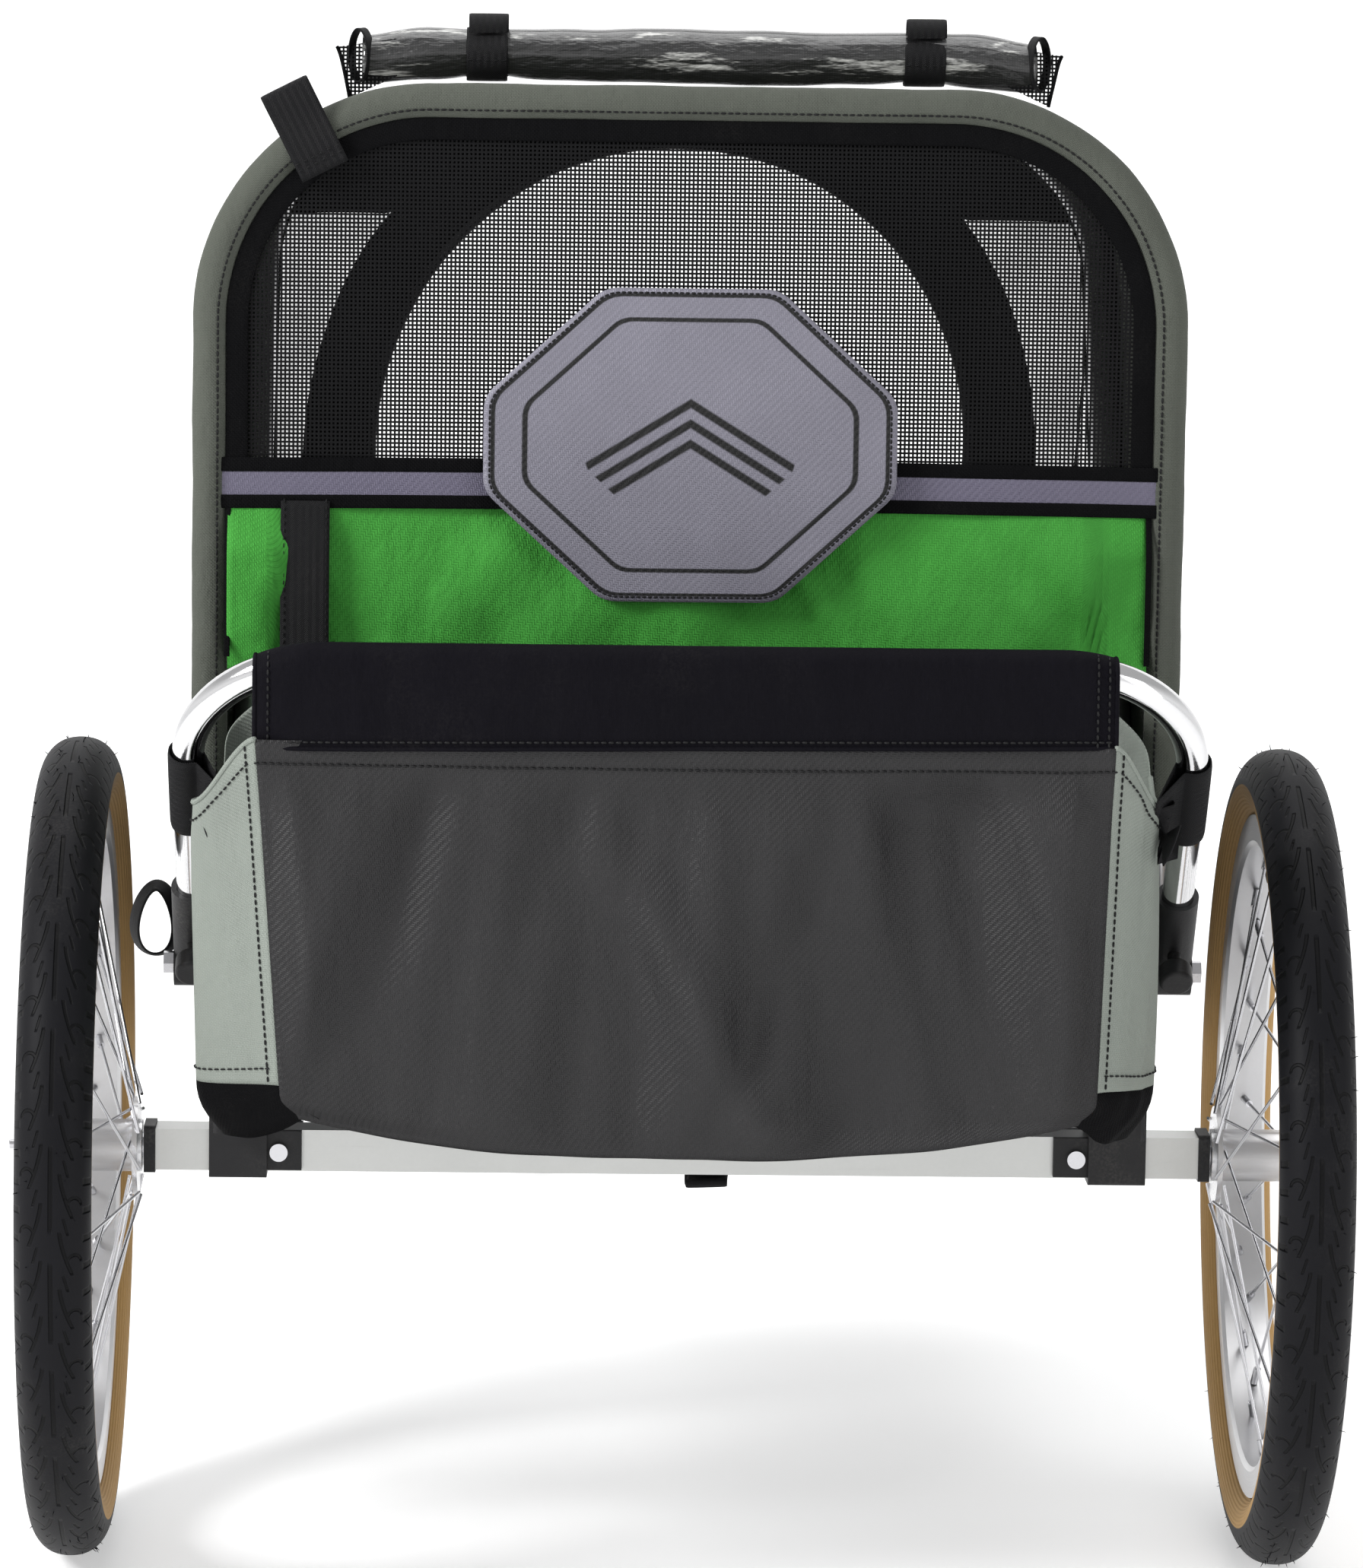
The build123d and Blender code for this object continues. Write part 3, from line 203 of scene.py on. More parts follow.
def tube(path, radius, sides=10, closed=False, material=0):
    """A circle of the given radius carried along a path: path + radius (cos a N + sin a B), where N
    is the part of a fixed direction that is square to the path and B is square to both."""
    path = np.asarray(path, float)
    step = np.roll(path, -1, 0) - np.roll(path, 1, 0) if closed else np.gradient(path, axis=0)
    run = unit(step)
    spare = np.eye(3)[np.argmin(np.abs(run).max(0))]
    side = unit(spare - (run @ spare)[:, None] * run)
    up = np.cross(run, side)
    a = np.linspace(0, 2 * np.pi, sides, endpoint=False)[None, :, None]
    radius = np.broadcast_to(radius, len(path))[:, None, None]
    ring = path[:, None] + radius * (np.cos(a) * side[:, None] + np.sin(a) * up[:, None])
    if not closed:
        ends = [np.repeat(path[k:k + 1, None], sides, 1) for k in (0, -1)]
        ring = np.concatenate([ends[0], ring, ends[1]])
    return grid(ring, closed=(closed, True), material=material)


def ribbon(path, across, width, thickness, closed=False, material=0):
    """A flat strap carried along a path: a rounded rectangle, width along across and thickness square
    to it, whose edge is |x|^6 + |y|^6 = 1 scaled to both."""
    path = np.asarray(path, float)
    step = np.roll(path, -1, 0) - np.roll(path, 1, 0) if closed else np.gradient(path, axis=0)
    run = unit(step)
    across = np.broadcast_to(np.asarray(across, float), path.shape)
    across = unit(across - (across * run).sum(1, keepdims=True) * run)
    out = np.cross(run, across)
    a = np.linspace(0, 2 * np.pi, 16, endpoint=False)
    c, s = np.cos(a), np.sin(a)
    size = (np.abs(c) ** 6 + np.abs(s) ** 6) ** (-1 / 6)
    x, y = (c * size)[None, :, None] * width / 2, (s * size)[None, :, None] * thickness / 2
    ring = path[:, None] + x * across[:, None] + y * out[:, None]
    distance = np.concatenate([[0.0], np.cumsum(np.linalg.norm(np.diff(path, axis=0), axis=1))])
    if closed:
        distance = np.append(distance, distance[-1] + np.linalg.norm(path[0] - path[-1]))
    else:
        ends = [np.repeat(path[k:k + 1, None], 16, 1) for k in (0, -1)]
        ring = np.concatenate([ends[0], ring, ends[1]])
        distance = np.concatenate([[0.0], distance, distance[-1:]])
    v = np.append(x.ravel(), x.ravel()[0])
    uv = np.stack(np.meshgrid(distance, v, indexing="ij"), -1)
    return grid(ring, closed=(closed, True), uv=uv, material=material)


def stitches(path, out, material, pitch=0.0042, length=0.0030, radius=0.00042):
    """A row of sewn stitches: short spindles, radius (1 - t^4) for t from -1 to 1, laid end to end
    along a path and lifted off it by half their radius."""
    path = np.asarray(path, float)
    count = max(2, int(np.linalg.norm(np.diff(path, axis=0), axis=1).sum() / pitch))
    at = along(path, count)
    run = unit(np.gradient(at, axis=0))
    out = unit(along(path, count, out))
    side = np.cross(run, out)
    t = np.array([-1.0, -0.6, 0.6, 1.0])
    a = np.linspace(0, 2 * np.pi, 5, endpoint=False)
    thick = radius * (1 - t ** 4)
    shape = (at[:, None, None] + run[:, None, None] * (t * length / 2)[None, :, None, None]
             + out[:, None, None] * radius / 2
             + side[:, None, None] * (thick[:, None] * np.cos(a))[None, :, :, None]
             + out[:, None, None] * (thick[:, None] * np.sin(a))[None, :, :, None])
    return grid(shape, closed=(False, True), material=material)


class Bow:
    """A bent tube in a plane through a hinge, leaning forward by an angle."""

    def __init__(self, hinge, lean, half, height, bend):
        self.hinge, self.half, self.height, self.bend = np.array(hinge), half, height, bend
        self.up = np.array([0.0, np.sin(lean), np.cos(lean)])
        self.forward = np.array([0.0, np.cos(lean), -np.sin(lean)])

    def path(self, low, count, out=0.0):
        """Points along the arch, out beyond the tube's middle, and the directions outwards: legs at
        ±half from height low, quarter circles of radius bend, and a level top. A point is the bend's
        centre plus (bend + out) along the outward direction, whose angle goes from 180 to 0 degrees."""
        leg, quarter, flat = self.height - self.bend - low, np.pi / 2 * self.bend, 2 * (self.half - self.bend)
        knots = np.cumsum([0, leg, quarter, flat, quarter, leg])
        s = np.linspace(0, knots[-1], count)
        angle = np.interp(s, knots, np.pi * np.array([1, 1, 0.5, 0.5, 0, 0]))
        x = np.interp(s, knots, (self.half - self.bend) * np.array([-1, -1, -1, 1, 1, 1]))
        high = self.height - self.bend
        z = np.interp(s, knots, [low, high, high, high, high, low])
        outward = np.cos(angle)[:, None] * np.array([1.0, 0, 0]) + np.sin(angle)[:, None] * self.up
        middle = self.hinge + x[:, None] * np.array([1.0, 0, 0]) + z[:, None] * self.up
        return middle + (self.bend + out) * outward, outward


HOOP = Bow(HINGE, 0.0, HOOP_HIGH.x - TUBE, HOOP_HIGH.z - TUBE - HINGE[2], 0.130)
BOW_REACH = (BOW_HIGH.y - TUBE - HINGE[1], BOW_HIGH.z - TUBE - HINGE[2])
BOW = Bow(HINGE, np.arctan2(*BOW_REACH), BOW_HIGH.x - TUBE, np.hypot(*BOW_REACH), 0.120)
BAR_REACH = (BAR_LOW.y + TUBE - BAR_HINGE[1], BAR_HIGH.z - TUBE - BAR_HINGE[2])
BAR = Bow(BAR_HINGE, np.arctan2(*BAR_REACH), BAR_HIGH.x - TUBE, np.hypot(*BAR_REACH), 0.080)


# ---------------------------------------------------------------- shader groups
def node(tree, kind, values=None, **fields):
    """Add a node, set its fields, and give its inputs values or links."""
    made = tree.nodes.new(kind)
    for key, value in fields.items():
        setattr(made, key, value)
    for key, value in (values or {}).items():
        if isinstance(value, bpy.types.NodeSocket):
            tree.links.new(value, made.inputs[key])
        else:
            made.inputs[key].default_value = value
    return made


def maths(tree, operation, *values, clamp=False):
    """A Math node's result."""
    return node(tree, "ShaderNodeMath", dict(enumerate(values)), operation=operation,
                use_clamp=clamp).outputs[0]


def ramp(tree, value, low, high, start=0.0, end=1.0):
    """Smoothstep of value from start at low to end at high."""
    return node(tree, "ShaderNodeMapRange", {"Value": value, "From Min": low, "From Max": high,
                                             "To Min": start, "To Max": end},
                interpolation_type="SMOOTHSTEP").outputs[0]


def blend_colours(tree, amount, first, second, mode="MIX"):
    """A Mix node's colour."""
    return node(tree, "ShaderNodeMix", {0: amount, 6: first, 7: second}, data_type="RGBA",
                blend_type=mode).outputs[2]


def noise(tree, vector, scale, detail=3.0, roughness=0.55):
    """A Noise texture's value."""
    return node(tree, "ShaderNodeTexNoise", {"Vector": vector, "Scale": scale, "Detail": detail,
                                             "Roughness": roughness}).outputs[0]


def group(name, inputs, outputs, fill):
    """A shader node group with named sockets, filled by fill(tree, inputs) that returns its outputs."""
    tree = bpy.data.node_groups.new(name, "ShaderNodeTree")
    for key, kind, value in inputs:
        made = tree.interface.new_socket(key, in_out="INPUT", socket_type="NodeSocket" + kind)
        if value is not None:
            made.default_value = value
    for key, kind in outputs:
        tree.interface.new_socket(key, in_out="OUTPUT", socket_type="NodeSocket" + kind)
    start, end = tree.nodes.new("NodeGroupInput"), tree.nodes.new("NodeGroupOutput")
    for key, value in fill(tree, start.outputs).items():
        tree.links.new(value, end.inputs[key])
    return tree


def fill_weave(tree, given):
    """Threads both ways: a thread is over where the two thread numbers' sum, over the float length,
    has a fraction under half, and each is a half sine across its width."""
    size = node(tree, "ShaderNodeVectorMath", {0: given["Vector"], 3: given["Threads"]}, operation="SCALE")
    parts = node(tree, "ShaderNodeSeparateXYZ", {0: size.outputs[0]})
    u, v = parts.outputs[0], parts.outputs[1]
    total = maths(tree, "ADD", maths(tree, "FLOOR", u), maths(tree, "FLOOR", v))
    over = maths(tree, "LESS_THAN", maths(tree, "FRACT", maths(tree, "DIVIDE", total, given["Float"])), 0.499)
    warp = maths(tree, "SINE", maths(tree, "MULTIPLY", maths(tree, "FRACT", u), np.pi))
    weft = maths(tree, "SINE", maths(tree, "MULTIPLY", maths(tree, "FRACT", v), np.pi))
    height = node(tree, "ShaderNodeMix", {0: over, 2: maths(tree, "MULTIPLY", weft, 0.72), 3: warp})
    return {"Height": height.outputs[0], "Over": over}


def fill_fade(tree, given):
    """Colour that is a little lighter and darker in broad clouds and fine flecks."""
    cloud = ramp(tree, noise(tree, given["Vector"], 9.0), 0.3, 0.7, 0.0, 1.0)
    fleck = noise(tree, given["Vector"], 420.0, 2.0)
    amount = maths(tree, "MULTIPLY", maths(tree, "ADD", cloud, fleck), given["Amount"])
    lighter = blend_colours(tree, 1.0, given["Colour"], (1.5, 1.5, 1.5, 1.0), "MULTIPLY")
    return {"Colour": blend_colours(tree, amount, given["Colour"], lighter), "Cloud": cloud}


def fill_dust(tree, given):
    """Grey dust: broad patches times fine specks."""
    patch = ramp(tree, noise(tree, given["Vector"], 14.0, 5.0, 0.65), 0.46, 0.75)
    speck = ramp(tree, noise(tree, given["Vector"], 650.0, 2.0), 0.35, 0.75)
    mask = maths(tree, "MULTIPLY", maths(tree, "MULTIPLY", patch, speck), given["Amount"])
    return {"Mask": mask, "Colour": blend_colours(tree, mask, given["Colour"], (0.34, 0.32, 0.29, 1.0))}


def fill_drawn(tree, given):
    """Fine lines left by drawing or turning metal, as noise on a stretched vector, and rarer scratches."""
    line = noise(tree, given["Vector"], given["Lines"], 4.0, 0.7)
    scratch = ramp(tree, noise(tree, given["Vector"], maths(tree, "MULTIPLY", given["Lines"], 0.31), 6.0, 0.8),
                   0.62, 0.70)
    height = maths(tree, "SUBTRACT", line, maths(tree, "MULTIPLY", scratch, 0.5))
    return {"Height": height, "Scratch": scratch}


def fill_net(tree, given):
    """A square net: a thread covers a point where either coordinate's fraction is under its share."""
    size = node(tree, "ShaderNodeVectorMath", {0: given["Vector"], 3: given["Threads"]}, operation="SCALE")
    parts = node(tree, "ShaderNodeSeparateXYZ", {0: size.outputs[0]})
    rows = [maths(tree, "ABSOLUTE", maths(tree, "SUBTRACT", maths(tree, "FRACT", parts.outputs[k]), 0.5))
            for k in (0, 1)]
    far = maths(tree, "MAXIMUM", *rows)
    edge = maths(tree, "SUBTRACT", 0.5, maths(tree, "MULTIPLY", given["Share"], 0.5))
    return {"Cover": maths(tree, "GREATER_THAN", far, edge), "Height": far}


def fill_groove(tree, given):
    """1 within Width of Distance 0, falling smoothly to 0 at twice that."""
    far = maths(tree, "DIVIDE", maths(tree, "ABSOLUTE", given["Distance"]), given["Width"])
    return {"Mask": ramp(tree, far, 0.7, 1.4, 1.0, 0.0)}


VECTOR, COLOUR, VALUE = ("Vector", "Vector", None), ("Colour", "Color", (0.5, 0.5, 0.5, 1.0)), "Float"
GROUPS = {
    "weave": group("Weave", [VECTOR, ("Threads", VALUE, 900.0), ("Float", VALUE, 4.0)],
                   [("Height", VALUE), ("Over", VALUE)], fill_weave),
    "fade": group("Fade", [VECTOR, COLOUR, ("Amount", VALUE, 0.3)],
                  [("Colour", "Color"), ("Cloud", VALUE)], fill_fade),
    "dust": group("Dust", [VECTOR, COLOUR, ("Amount", VALUE, 0.3)],
                  [("Mask", VALUE), ("Colour", "Color")], fill_dust),
    "drawn": group("Drawn metal", [VECTOR, ("Lines", VALUE, 60.0)],
                   [("Height", VALUE), ("Scratch", VALUE)], fill_drawn),
    "net": group("Net", [VECTOR, ("Threads", VALUE, 420.0), ("Share", VALUE, 0.4)],
                 [("Cover", VALUE), ("Height", VALUE)], fill_net),
    "groove": group("Groove", [("Distance", VALUE, 0.0), ("Width", VALUE, 0.001)],
                    [("Mask", VALUE)], fill_groove),
}


def use(tree, name, **values):
    """A group's node, with its inputs given by name."""
    made = tree.nodes.new("ShaderNodeGroup")
    made.node_tree = GROUPS[name]
    for key, value in values.items():
        if isinstance(value, bpy.types.NodeSocket):
            tree.links.new(value, made.inputs[key])
        else:
            made.inputs[key].default_value = value
    return made.outputs


# ---------------------------------------------------------------- materials
def start_material(name):
    """A new material, its tree and its Principled shader."""
    made = bpy.data.materials.new(name)
    made.use_nodes = True
    return made, made.node_tree, made.node_tree.nodes["Principled BSDF"]


def coordinates(tree, kind):
    """Object or UV coordinates."""
    return node(tree, "ShaderNodeTexCoord").outputs[kind]


def mapped(tree, vector, scale=(1.0, 1.0, 1.0), location=(0.0, 0.0, 0.0), rotation=(0.0, 0.0, 0.0)):
    """A Mapping node's vector."""
    return node(tree, "ShaderNodeMapping", {"Vector": vector, "Scale": scale, "Location": location,
                                            "Rotation": rotation}).outputs[0]


def bump(tree, height, distance, strength=1.0, normal=None):
    """A Bump node's normal."""
    values = {"Height": height, "Distance": distance, "Strength": strength}
    if normal is not None:
        values["Normal"] = normal
    return node(tree, "ShaderNodeBump", values).outputs[0]


def opaque(colour):
    """A colour with its alpha."""
    return tuple(colour)[:3] + (1.0,)


def join(tree, shader, **values):
    """Link or set a shader's inputs by name, with _ for a space."""
    for key, value in values.items():
        key = key.replace("_", " ")
        if isinstance(value, bpy.types.NodeSocket):
            tree.links.new(value, shader.inputs[key])
        else:
            shader.inputs[key].default_value = value


def cloth(name, colour, threads=900.0, floats=4.0, depth=0.00022, rough=0.82, sheen=0.0, fade=0.22, dust=0.015,
          gloss=0.12):
    """Woven cloth: threads in the piece's own UV, faded in clouds, creased in fine lines, lightly dusted, with painted
    shade darkening the low parts of the weave.
    """
    made, tree, shader = start_material(name)
    uv, place = coordinates(tree, "UV"), coordinates(tree, "Object")
    weave = use(tree, "weave", Vector=uv, Threads=threads, Float=floats)
    tone = use(tree, "fade", Vector=place, Colour=opaque(colour), Amount=fade)
    # painted shade: the colour falls towards 0.45 of itself where the weave is low, at the threads' edges and between
    # them
    dark = blend_colours(tree, maths(tree, "MULTIPLY", maths(tree, "SUBTRACT", 1.0, weave["Height"]), 0.42),
                         tone["Colour"], opaque([c * 0.45 for c in colour]))
    dirty = use(tree, "dust", Vector=place, Colour=dark, Amount=dust)
    crease = noise(tree, mapped(tree, place, (1.0, 1.0, 0.55)), 38.0, 4.0, 0.6)
    fine = bump(tree, weave["Height"], depth)
    join(tree, shader, Base_Color=dirty["Colour"], Roughness=ramp(tree, tone["Cloud"], 0.0, 1.0, rough - 0.06, rough),
         Normal=bump(tree, crease, 0.0050, 0.7, fine), Sheen_Weight=sheen, Specular_IOR_Level=gloss)
    return made


def webbing_material(name, colour):
    """Woven webbing: ribs across the strap, a herringbone of two leans, and painted shade that darkens the gaps between
    the ribs.
    """
    made, tree, shader = start_material(name)
    uv, place = coordinates(tree, "UV"), coordinates(tree, "Object")
    parts = node(tree, "ShaderNodeSeparateXYZ", {0: uv})
    lean = maths(tree, "MULTIPLY", maths(tree, "PINGPONG", parts.outputs[1], 0.0022), 1.2)
    rib = maths(tree, "SINE", maths(tree, "MULTIPLY", maths(tree, "ADD", parts.outputs[0], lean), 2 * np.pi / 0.0013))
    rib = maths(tree, "MULTIPLY_ADD", rib, 0.5, 0.5)
    tone = use(tree, "fade", Vector=place, Colour=opaque(colour), Amount=0.4)
    # painted shade: colour darkened towards 0.4 of itself in the gaps between the ribs
    dark = blend_colours(tree, maths(tree, "MULTIPLY", maths(tree, "SUBTRACT", 1.0, rib), 0.5),
                         tone["Colour"], opaque([c * 0.4 for c in colour]))
    dirty = use(tree, "dust", Vector=place, Colour=dark, Amount=0.03)
    join(tree, shader, Base_Color=dirty["Colour"], Normal=bump(tree, rib, 0.0003), Roughness=0.62,
         Specular_IOR_Level=0.18)
    return made


def metal(name, colour, stretch, rough=0.28, lines=60.0, dust=0.06, metallic=1.0, depth=0.00004, place_at=(0, 0, 0)):
    """Drawn, rolled or brushed metal: lines along the axis whose stretch is smallest, rarer scratches,
    and thin dust that dulls it."""
    made, tree, shader = start_material(name)
    place = coordinates(tree, "Object")
    drawn = use(tree, "drawn", Vector=mapped(tree, place, stretch, place_at), Lines=lines)
    tone = use(tree, "fade", Vector=place, Colour=opaque(colour), Amount=0.10)
    dirty = use(tree, "dust", Vector=place, Colour=tone["Colour"], Amount=dust)
    scuff = maths(tree, "MULTIPLY_ADD", drawn["Scratch"], 0.12, rough)
    join(tree, shader, Base_Color=dirty["Colour"], Metallic=metallic,
         Roughness=maths(tree, "MULTIPLY_ADD", dirty["Mask"], 0.5, scuff),
         Normal=bump(tree, drawn["Height"], depth))
    return made


def turned_metal(name, colour, rough=0.22, dust=0.05):
    """Rims and hubs turned on a lathe: fine rings by the distance from the axle, with radial noise."""
    made, tree, shader = start_material(name)
    place = coordinates(tree, "Object")
    flat = mapped(tree, place, (0.0, 1.0, 1.0), (0.0, 0.0, -AXLE_Z))
    radius = node(tree, "ShaderNodeVectorMath", {0: flat}, operation="LENGTH").outputs["Value"]
    ring = node(tree, "ShaderNodeTexNoise", {"W": maths(tree, "MULTIPLY", radius, 900.0), "Scale": 1.0,
                                             "Detail": 4.0}, noise_dimensions="1D").outputs[0]
    wide = noise(tree, place, 24.0, 4.0)
    tone = use(tree, "fade", Vector=place, Colour=opaque(colour), Amount=0.08)
    dirty = use(tree, "dust", Vector=place, Colour=tone["Colour"], Amount=dust)
    uneven = maths(tree, "MULTIPLY_ADD", ring, 0.22, maths(tree, "MULTIPLY_ADD", wide, 0.12, rough - 0.14))
    join(tree, shader, Base_Color=dirty["Colour"], Metallic=1.0,
         Roughness=maths(tree, "MULTIPLY_ADD", dirty["Mask"], 0.5, uneven),
         Normal=bump(tree, ring, 0.00006))
    return made


def moulded(name, colour, rough=0.5, grain=900.0, dust=0.08, metallic=0.0, depth=0.00012):
    """Moulded plastic, rubber or powder coat: a fine grain, flow marks, scuffs and dust."""
    made, tree, shader = start_material(name)
    place = coordinates(tree, "Object")
    fine = noise(tree, place, grain, 2.0)
    flow = noise(tree, mapped(tree, place, (1.0, 1.0, 3.0)), 30.0, 4.0)
    tone = use(tree, "fade", Vector=place, Colour=opaque(colour), Amount=0.35)
    dirty = use(tree, "dust", Vector=place, Colour=tone["Colour"], Amount=dust)
    join(tree, shader, Base_Color=dirty["Colour"], Metallic=metallic, Specular_IOR_Level=0.30,
         Roughness=maths(tree, "MULTIPLY_ADD", flow, 0.16, rough - 0.08), Normal=bump(tree, fine, depth))
    return made


def tyre_material(name, colour, gum):
    """Tyre rubber on a UV of distance round the tread and across it: a dashed groove round the middle,
    hooks and short slanted cuts that alternate on both sides, shoulder bars, and gum side walls. The
    grooves and cuts are painted darker, as painted shade in them."""
    made, tree, shader = start_material(name)
    place = coordinates(tree, "Object")
    parts = node(tree, "ShaderNodeSeparateXYZ", {0: coordinates(tree, "UV")})
    pitch = np.pi * 0.5 / 46
    turn = maths(tree, "DIVIDE", parts.outputs[0], pitch)
    right = maths(tree, "GREATER_THAN", parts.outputs[1], 0.0)
    across = maths(tree, "ABSOLUTE", parts.outputs[1])
    shifted = maths(tree, "MULTIPLY_ADD", right, 0.5, turn)
    step = maths(tree, "FRACT", shifted)

    def groove(distance, width, low, high, along_step):
        """A groove between two places in the pitch, with soft ends."""
        inside = maths(tree, "MULTIPLY", ramp(tree, along_step, low, low + 0.06),
                       ramp(tree, along_step, high - 0.06, high, 1.0, 0.0))
        return maths(tree, "MULTIPLY", use(tree, "groove", Distance=distance, Width=width)["Mask"], inside)

    middle = groove(across, 0.0011, 0.05, 0.82, maths(tree, "FRACT", maths(tree, "MULTIPLY", turn, 0.5)))
    curve = maths(tree, "MULTIPLY_ADD", maths(tree, "POWER", step, 1.7), 0.0105, 0.0052)
    hook = groove(maths(tree, "SUBTRACT", across, curve), 0.00095, 0.08, 0.88, step)
    tip_u = maths(tree, "MULTIPLY", maths(tree, "SUBTRACT", step, 0.66), pitch)
    tip_v = maths(tree, "SUBTRACT", across, 0.0148)
    tip_r = maths(tree, "SQRT", maths(tree, "ADD", maths(tree, "MULTIPLY", tip_u, tip_u),
                                      maths(tree, "MULTIPLY", tip_v, tip_v)))
    barb = groove(maths(tree, "SUBTRACT", tip_r, 0.0050), 0.0009, 0.36, 0.66, step)
    later = maths(tree, "FRACT", maths(tree, "ADD", step, 0.45))
    slant = maths(tree, "MULTIPLY_ADD", later, 0.010, 0.0045)
    dash = groove(maths(tree, "SUBTRACT", across, slant), 0.0007, 0.30, 0.62, later)
    bars = maths(tree, "FRACT", maths(tree, "MULTIPLY", shifted, 2.0))
    bar = maths(tree, "MULTIPLY", groove(maths(tree, "SUBTRACT", bars, 0.5), 0.11, 0.0, 1.0, bars),
                ramp(tree, across, 0.0205, 0.0225))
    bar = maths(tree, "MULTIPLY", bar, ramp(tree, across, 0.0300, 0.0315, 1.0, 0.0))
    cut = maths(tree, "MAXIMUM", maths(tree, "MAXIMUM", middle, hook),
                maths(tree, "MAXIMUM", maths(tree, "MAXIMUM", barb, dash), bar))
    wall = ramp(tree, across, 0.0350, 0.0358)
    rib = maths(tree, "SINE", maths(tree, "MULTIPLY", across, 2 * np.pi / 0.0024))
    rubber = use(tree, "fade", Vector=place, Colour=opaque(colour), Amount=0.35)
    # painted shade: the tread colour falls to 0.22 of itself in the grooves and cuts
    deep = blend_colours(tree, maths(tree, "MULTIPLY", cut, 0.8), rubber["Colour"],
                         opaque([c * 0.22 for c in colour]))
    dusty = use(tree, "dust", Vector=place, Colour=deep, Amount=0.05)
    tan = use(tree, "fade", Vector=place, Colour=opaque(gum), Amount=0.25)
    height = maths(tree, "SUBTRACT", maths(tree, "MULTIPLY", maths(tree, "MULTIPLY", rib, wall), 0.08), cut)
    fine = bump(tree, noise(tree, place, 1400.0, 2.0), 0.00008)
    join(tree, shader, Base_Color=blend_colours(tree, wall, dusty["Colour"], tan["Colour"]),
         Roughness=ramp(tree, wall, 0.0, 1.0, 0.55, 0.66), Normal=bump(tree, height, 0.0016, 1.0, fine),
         Specular_IOR_Level=0.12)
    return made


def net_material(name, colour, threads=400.0, share=0.50):
    """Vinyl-coated net, open between its square threads."""
    made, tree, shader = start_material(name)
    net = use(tree, "net", Vector=coordinates(tree, "UV"), Threads=threads, Share=share)
    tone = use(tree, "fade", Vector=coordinates(tree, "Object"), Colour=opaque(colour), Amount=0.4)
    join(tree, shader, Base_Color=tone["Colour"], Alpha=net["Cover"], Roughness=0.55, Specular_IOR_Level=0.08,
         Normal=bump(tree, net["Height"], 0.0004))
    return made


def vinyl_material(name, colour, alpha=0.28):
    """Clear flexible vinyl, thin enough to let most light straight through, with soft ripples."""
    made, tree, shader = start_material(name)
    place = coordinates(tree, "Object")
    wave = noise(tree, mapped(tree, place, (0.5, 1.0, 1.6)), 34.0, 3.0, 0.5)
    smear = ramp(tree, noise(tree, place, 16.0, 5.0), 0.35, 0.8, alpha * 0.7, alpha * 1.5)
    join(tree, shader, Base_Color=opaque(colour), Alpha=smear, Roughness=0.08, Coat_Weight=1.0,
         Coat_Roughness=0.03, Normal=bump(tree, wave, 0.004))
    return made


def rolled_material(name, colour, threads=620.0):
    """Net under clear vinyl, rolled up: dark woven threads under a wet, wrinkled coat, with pale grey painted highlight
    streaks stretched along the roll.
    """
    made, tree, shader = start_material(name)
    place = coordinates(tree, "Object")
    net = use(tree, "net", Vector=coordinates(tree, "UV"), Threads=threads, Share=0.45)
    wrinkle = noise(tree, mapped(tree, place, (0.35, 1.0, 1.0)), 62.0, 4.0, 0.6)
    # painted highlight: pale grey streaks from a noise stretched along X, mixed into the colour
    painted_highlight_mask = ramp(tree, noise(tree, mapped(tree, place, (0.22, 1.0, 1.6)), 60.0, 5.0, 0.7), 0.56, 0.66, 0.0, 1.0)
    pale = blend_colours(tree, maths(tree, "SUBTRACT", 1.0, net["Cover"]), opaque(colour),
                         opaque([c * 2.0 + 0.008 for c in colour]))
    colour_with_painted_highlights = blend_colours(tree, painted_highlight_mask, pale, opaque((0.50, 0.50, 0.48)))
    join(tree, shader, Base_Color=colour_with_painted_highlights, Roughness=0.36, Coat_Weight=1.0, Coat_Roughness=0.05,
         Normal=bump(tree, wrinkle, 0.0075))
    return made


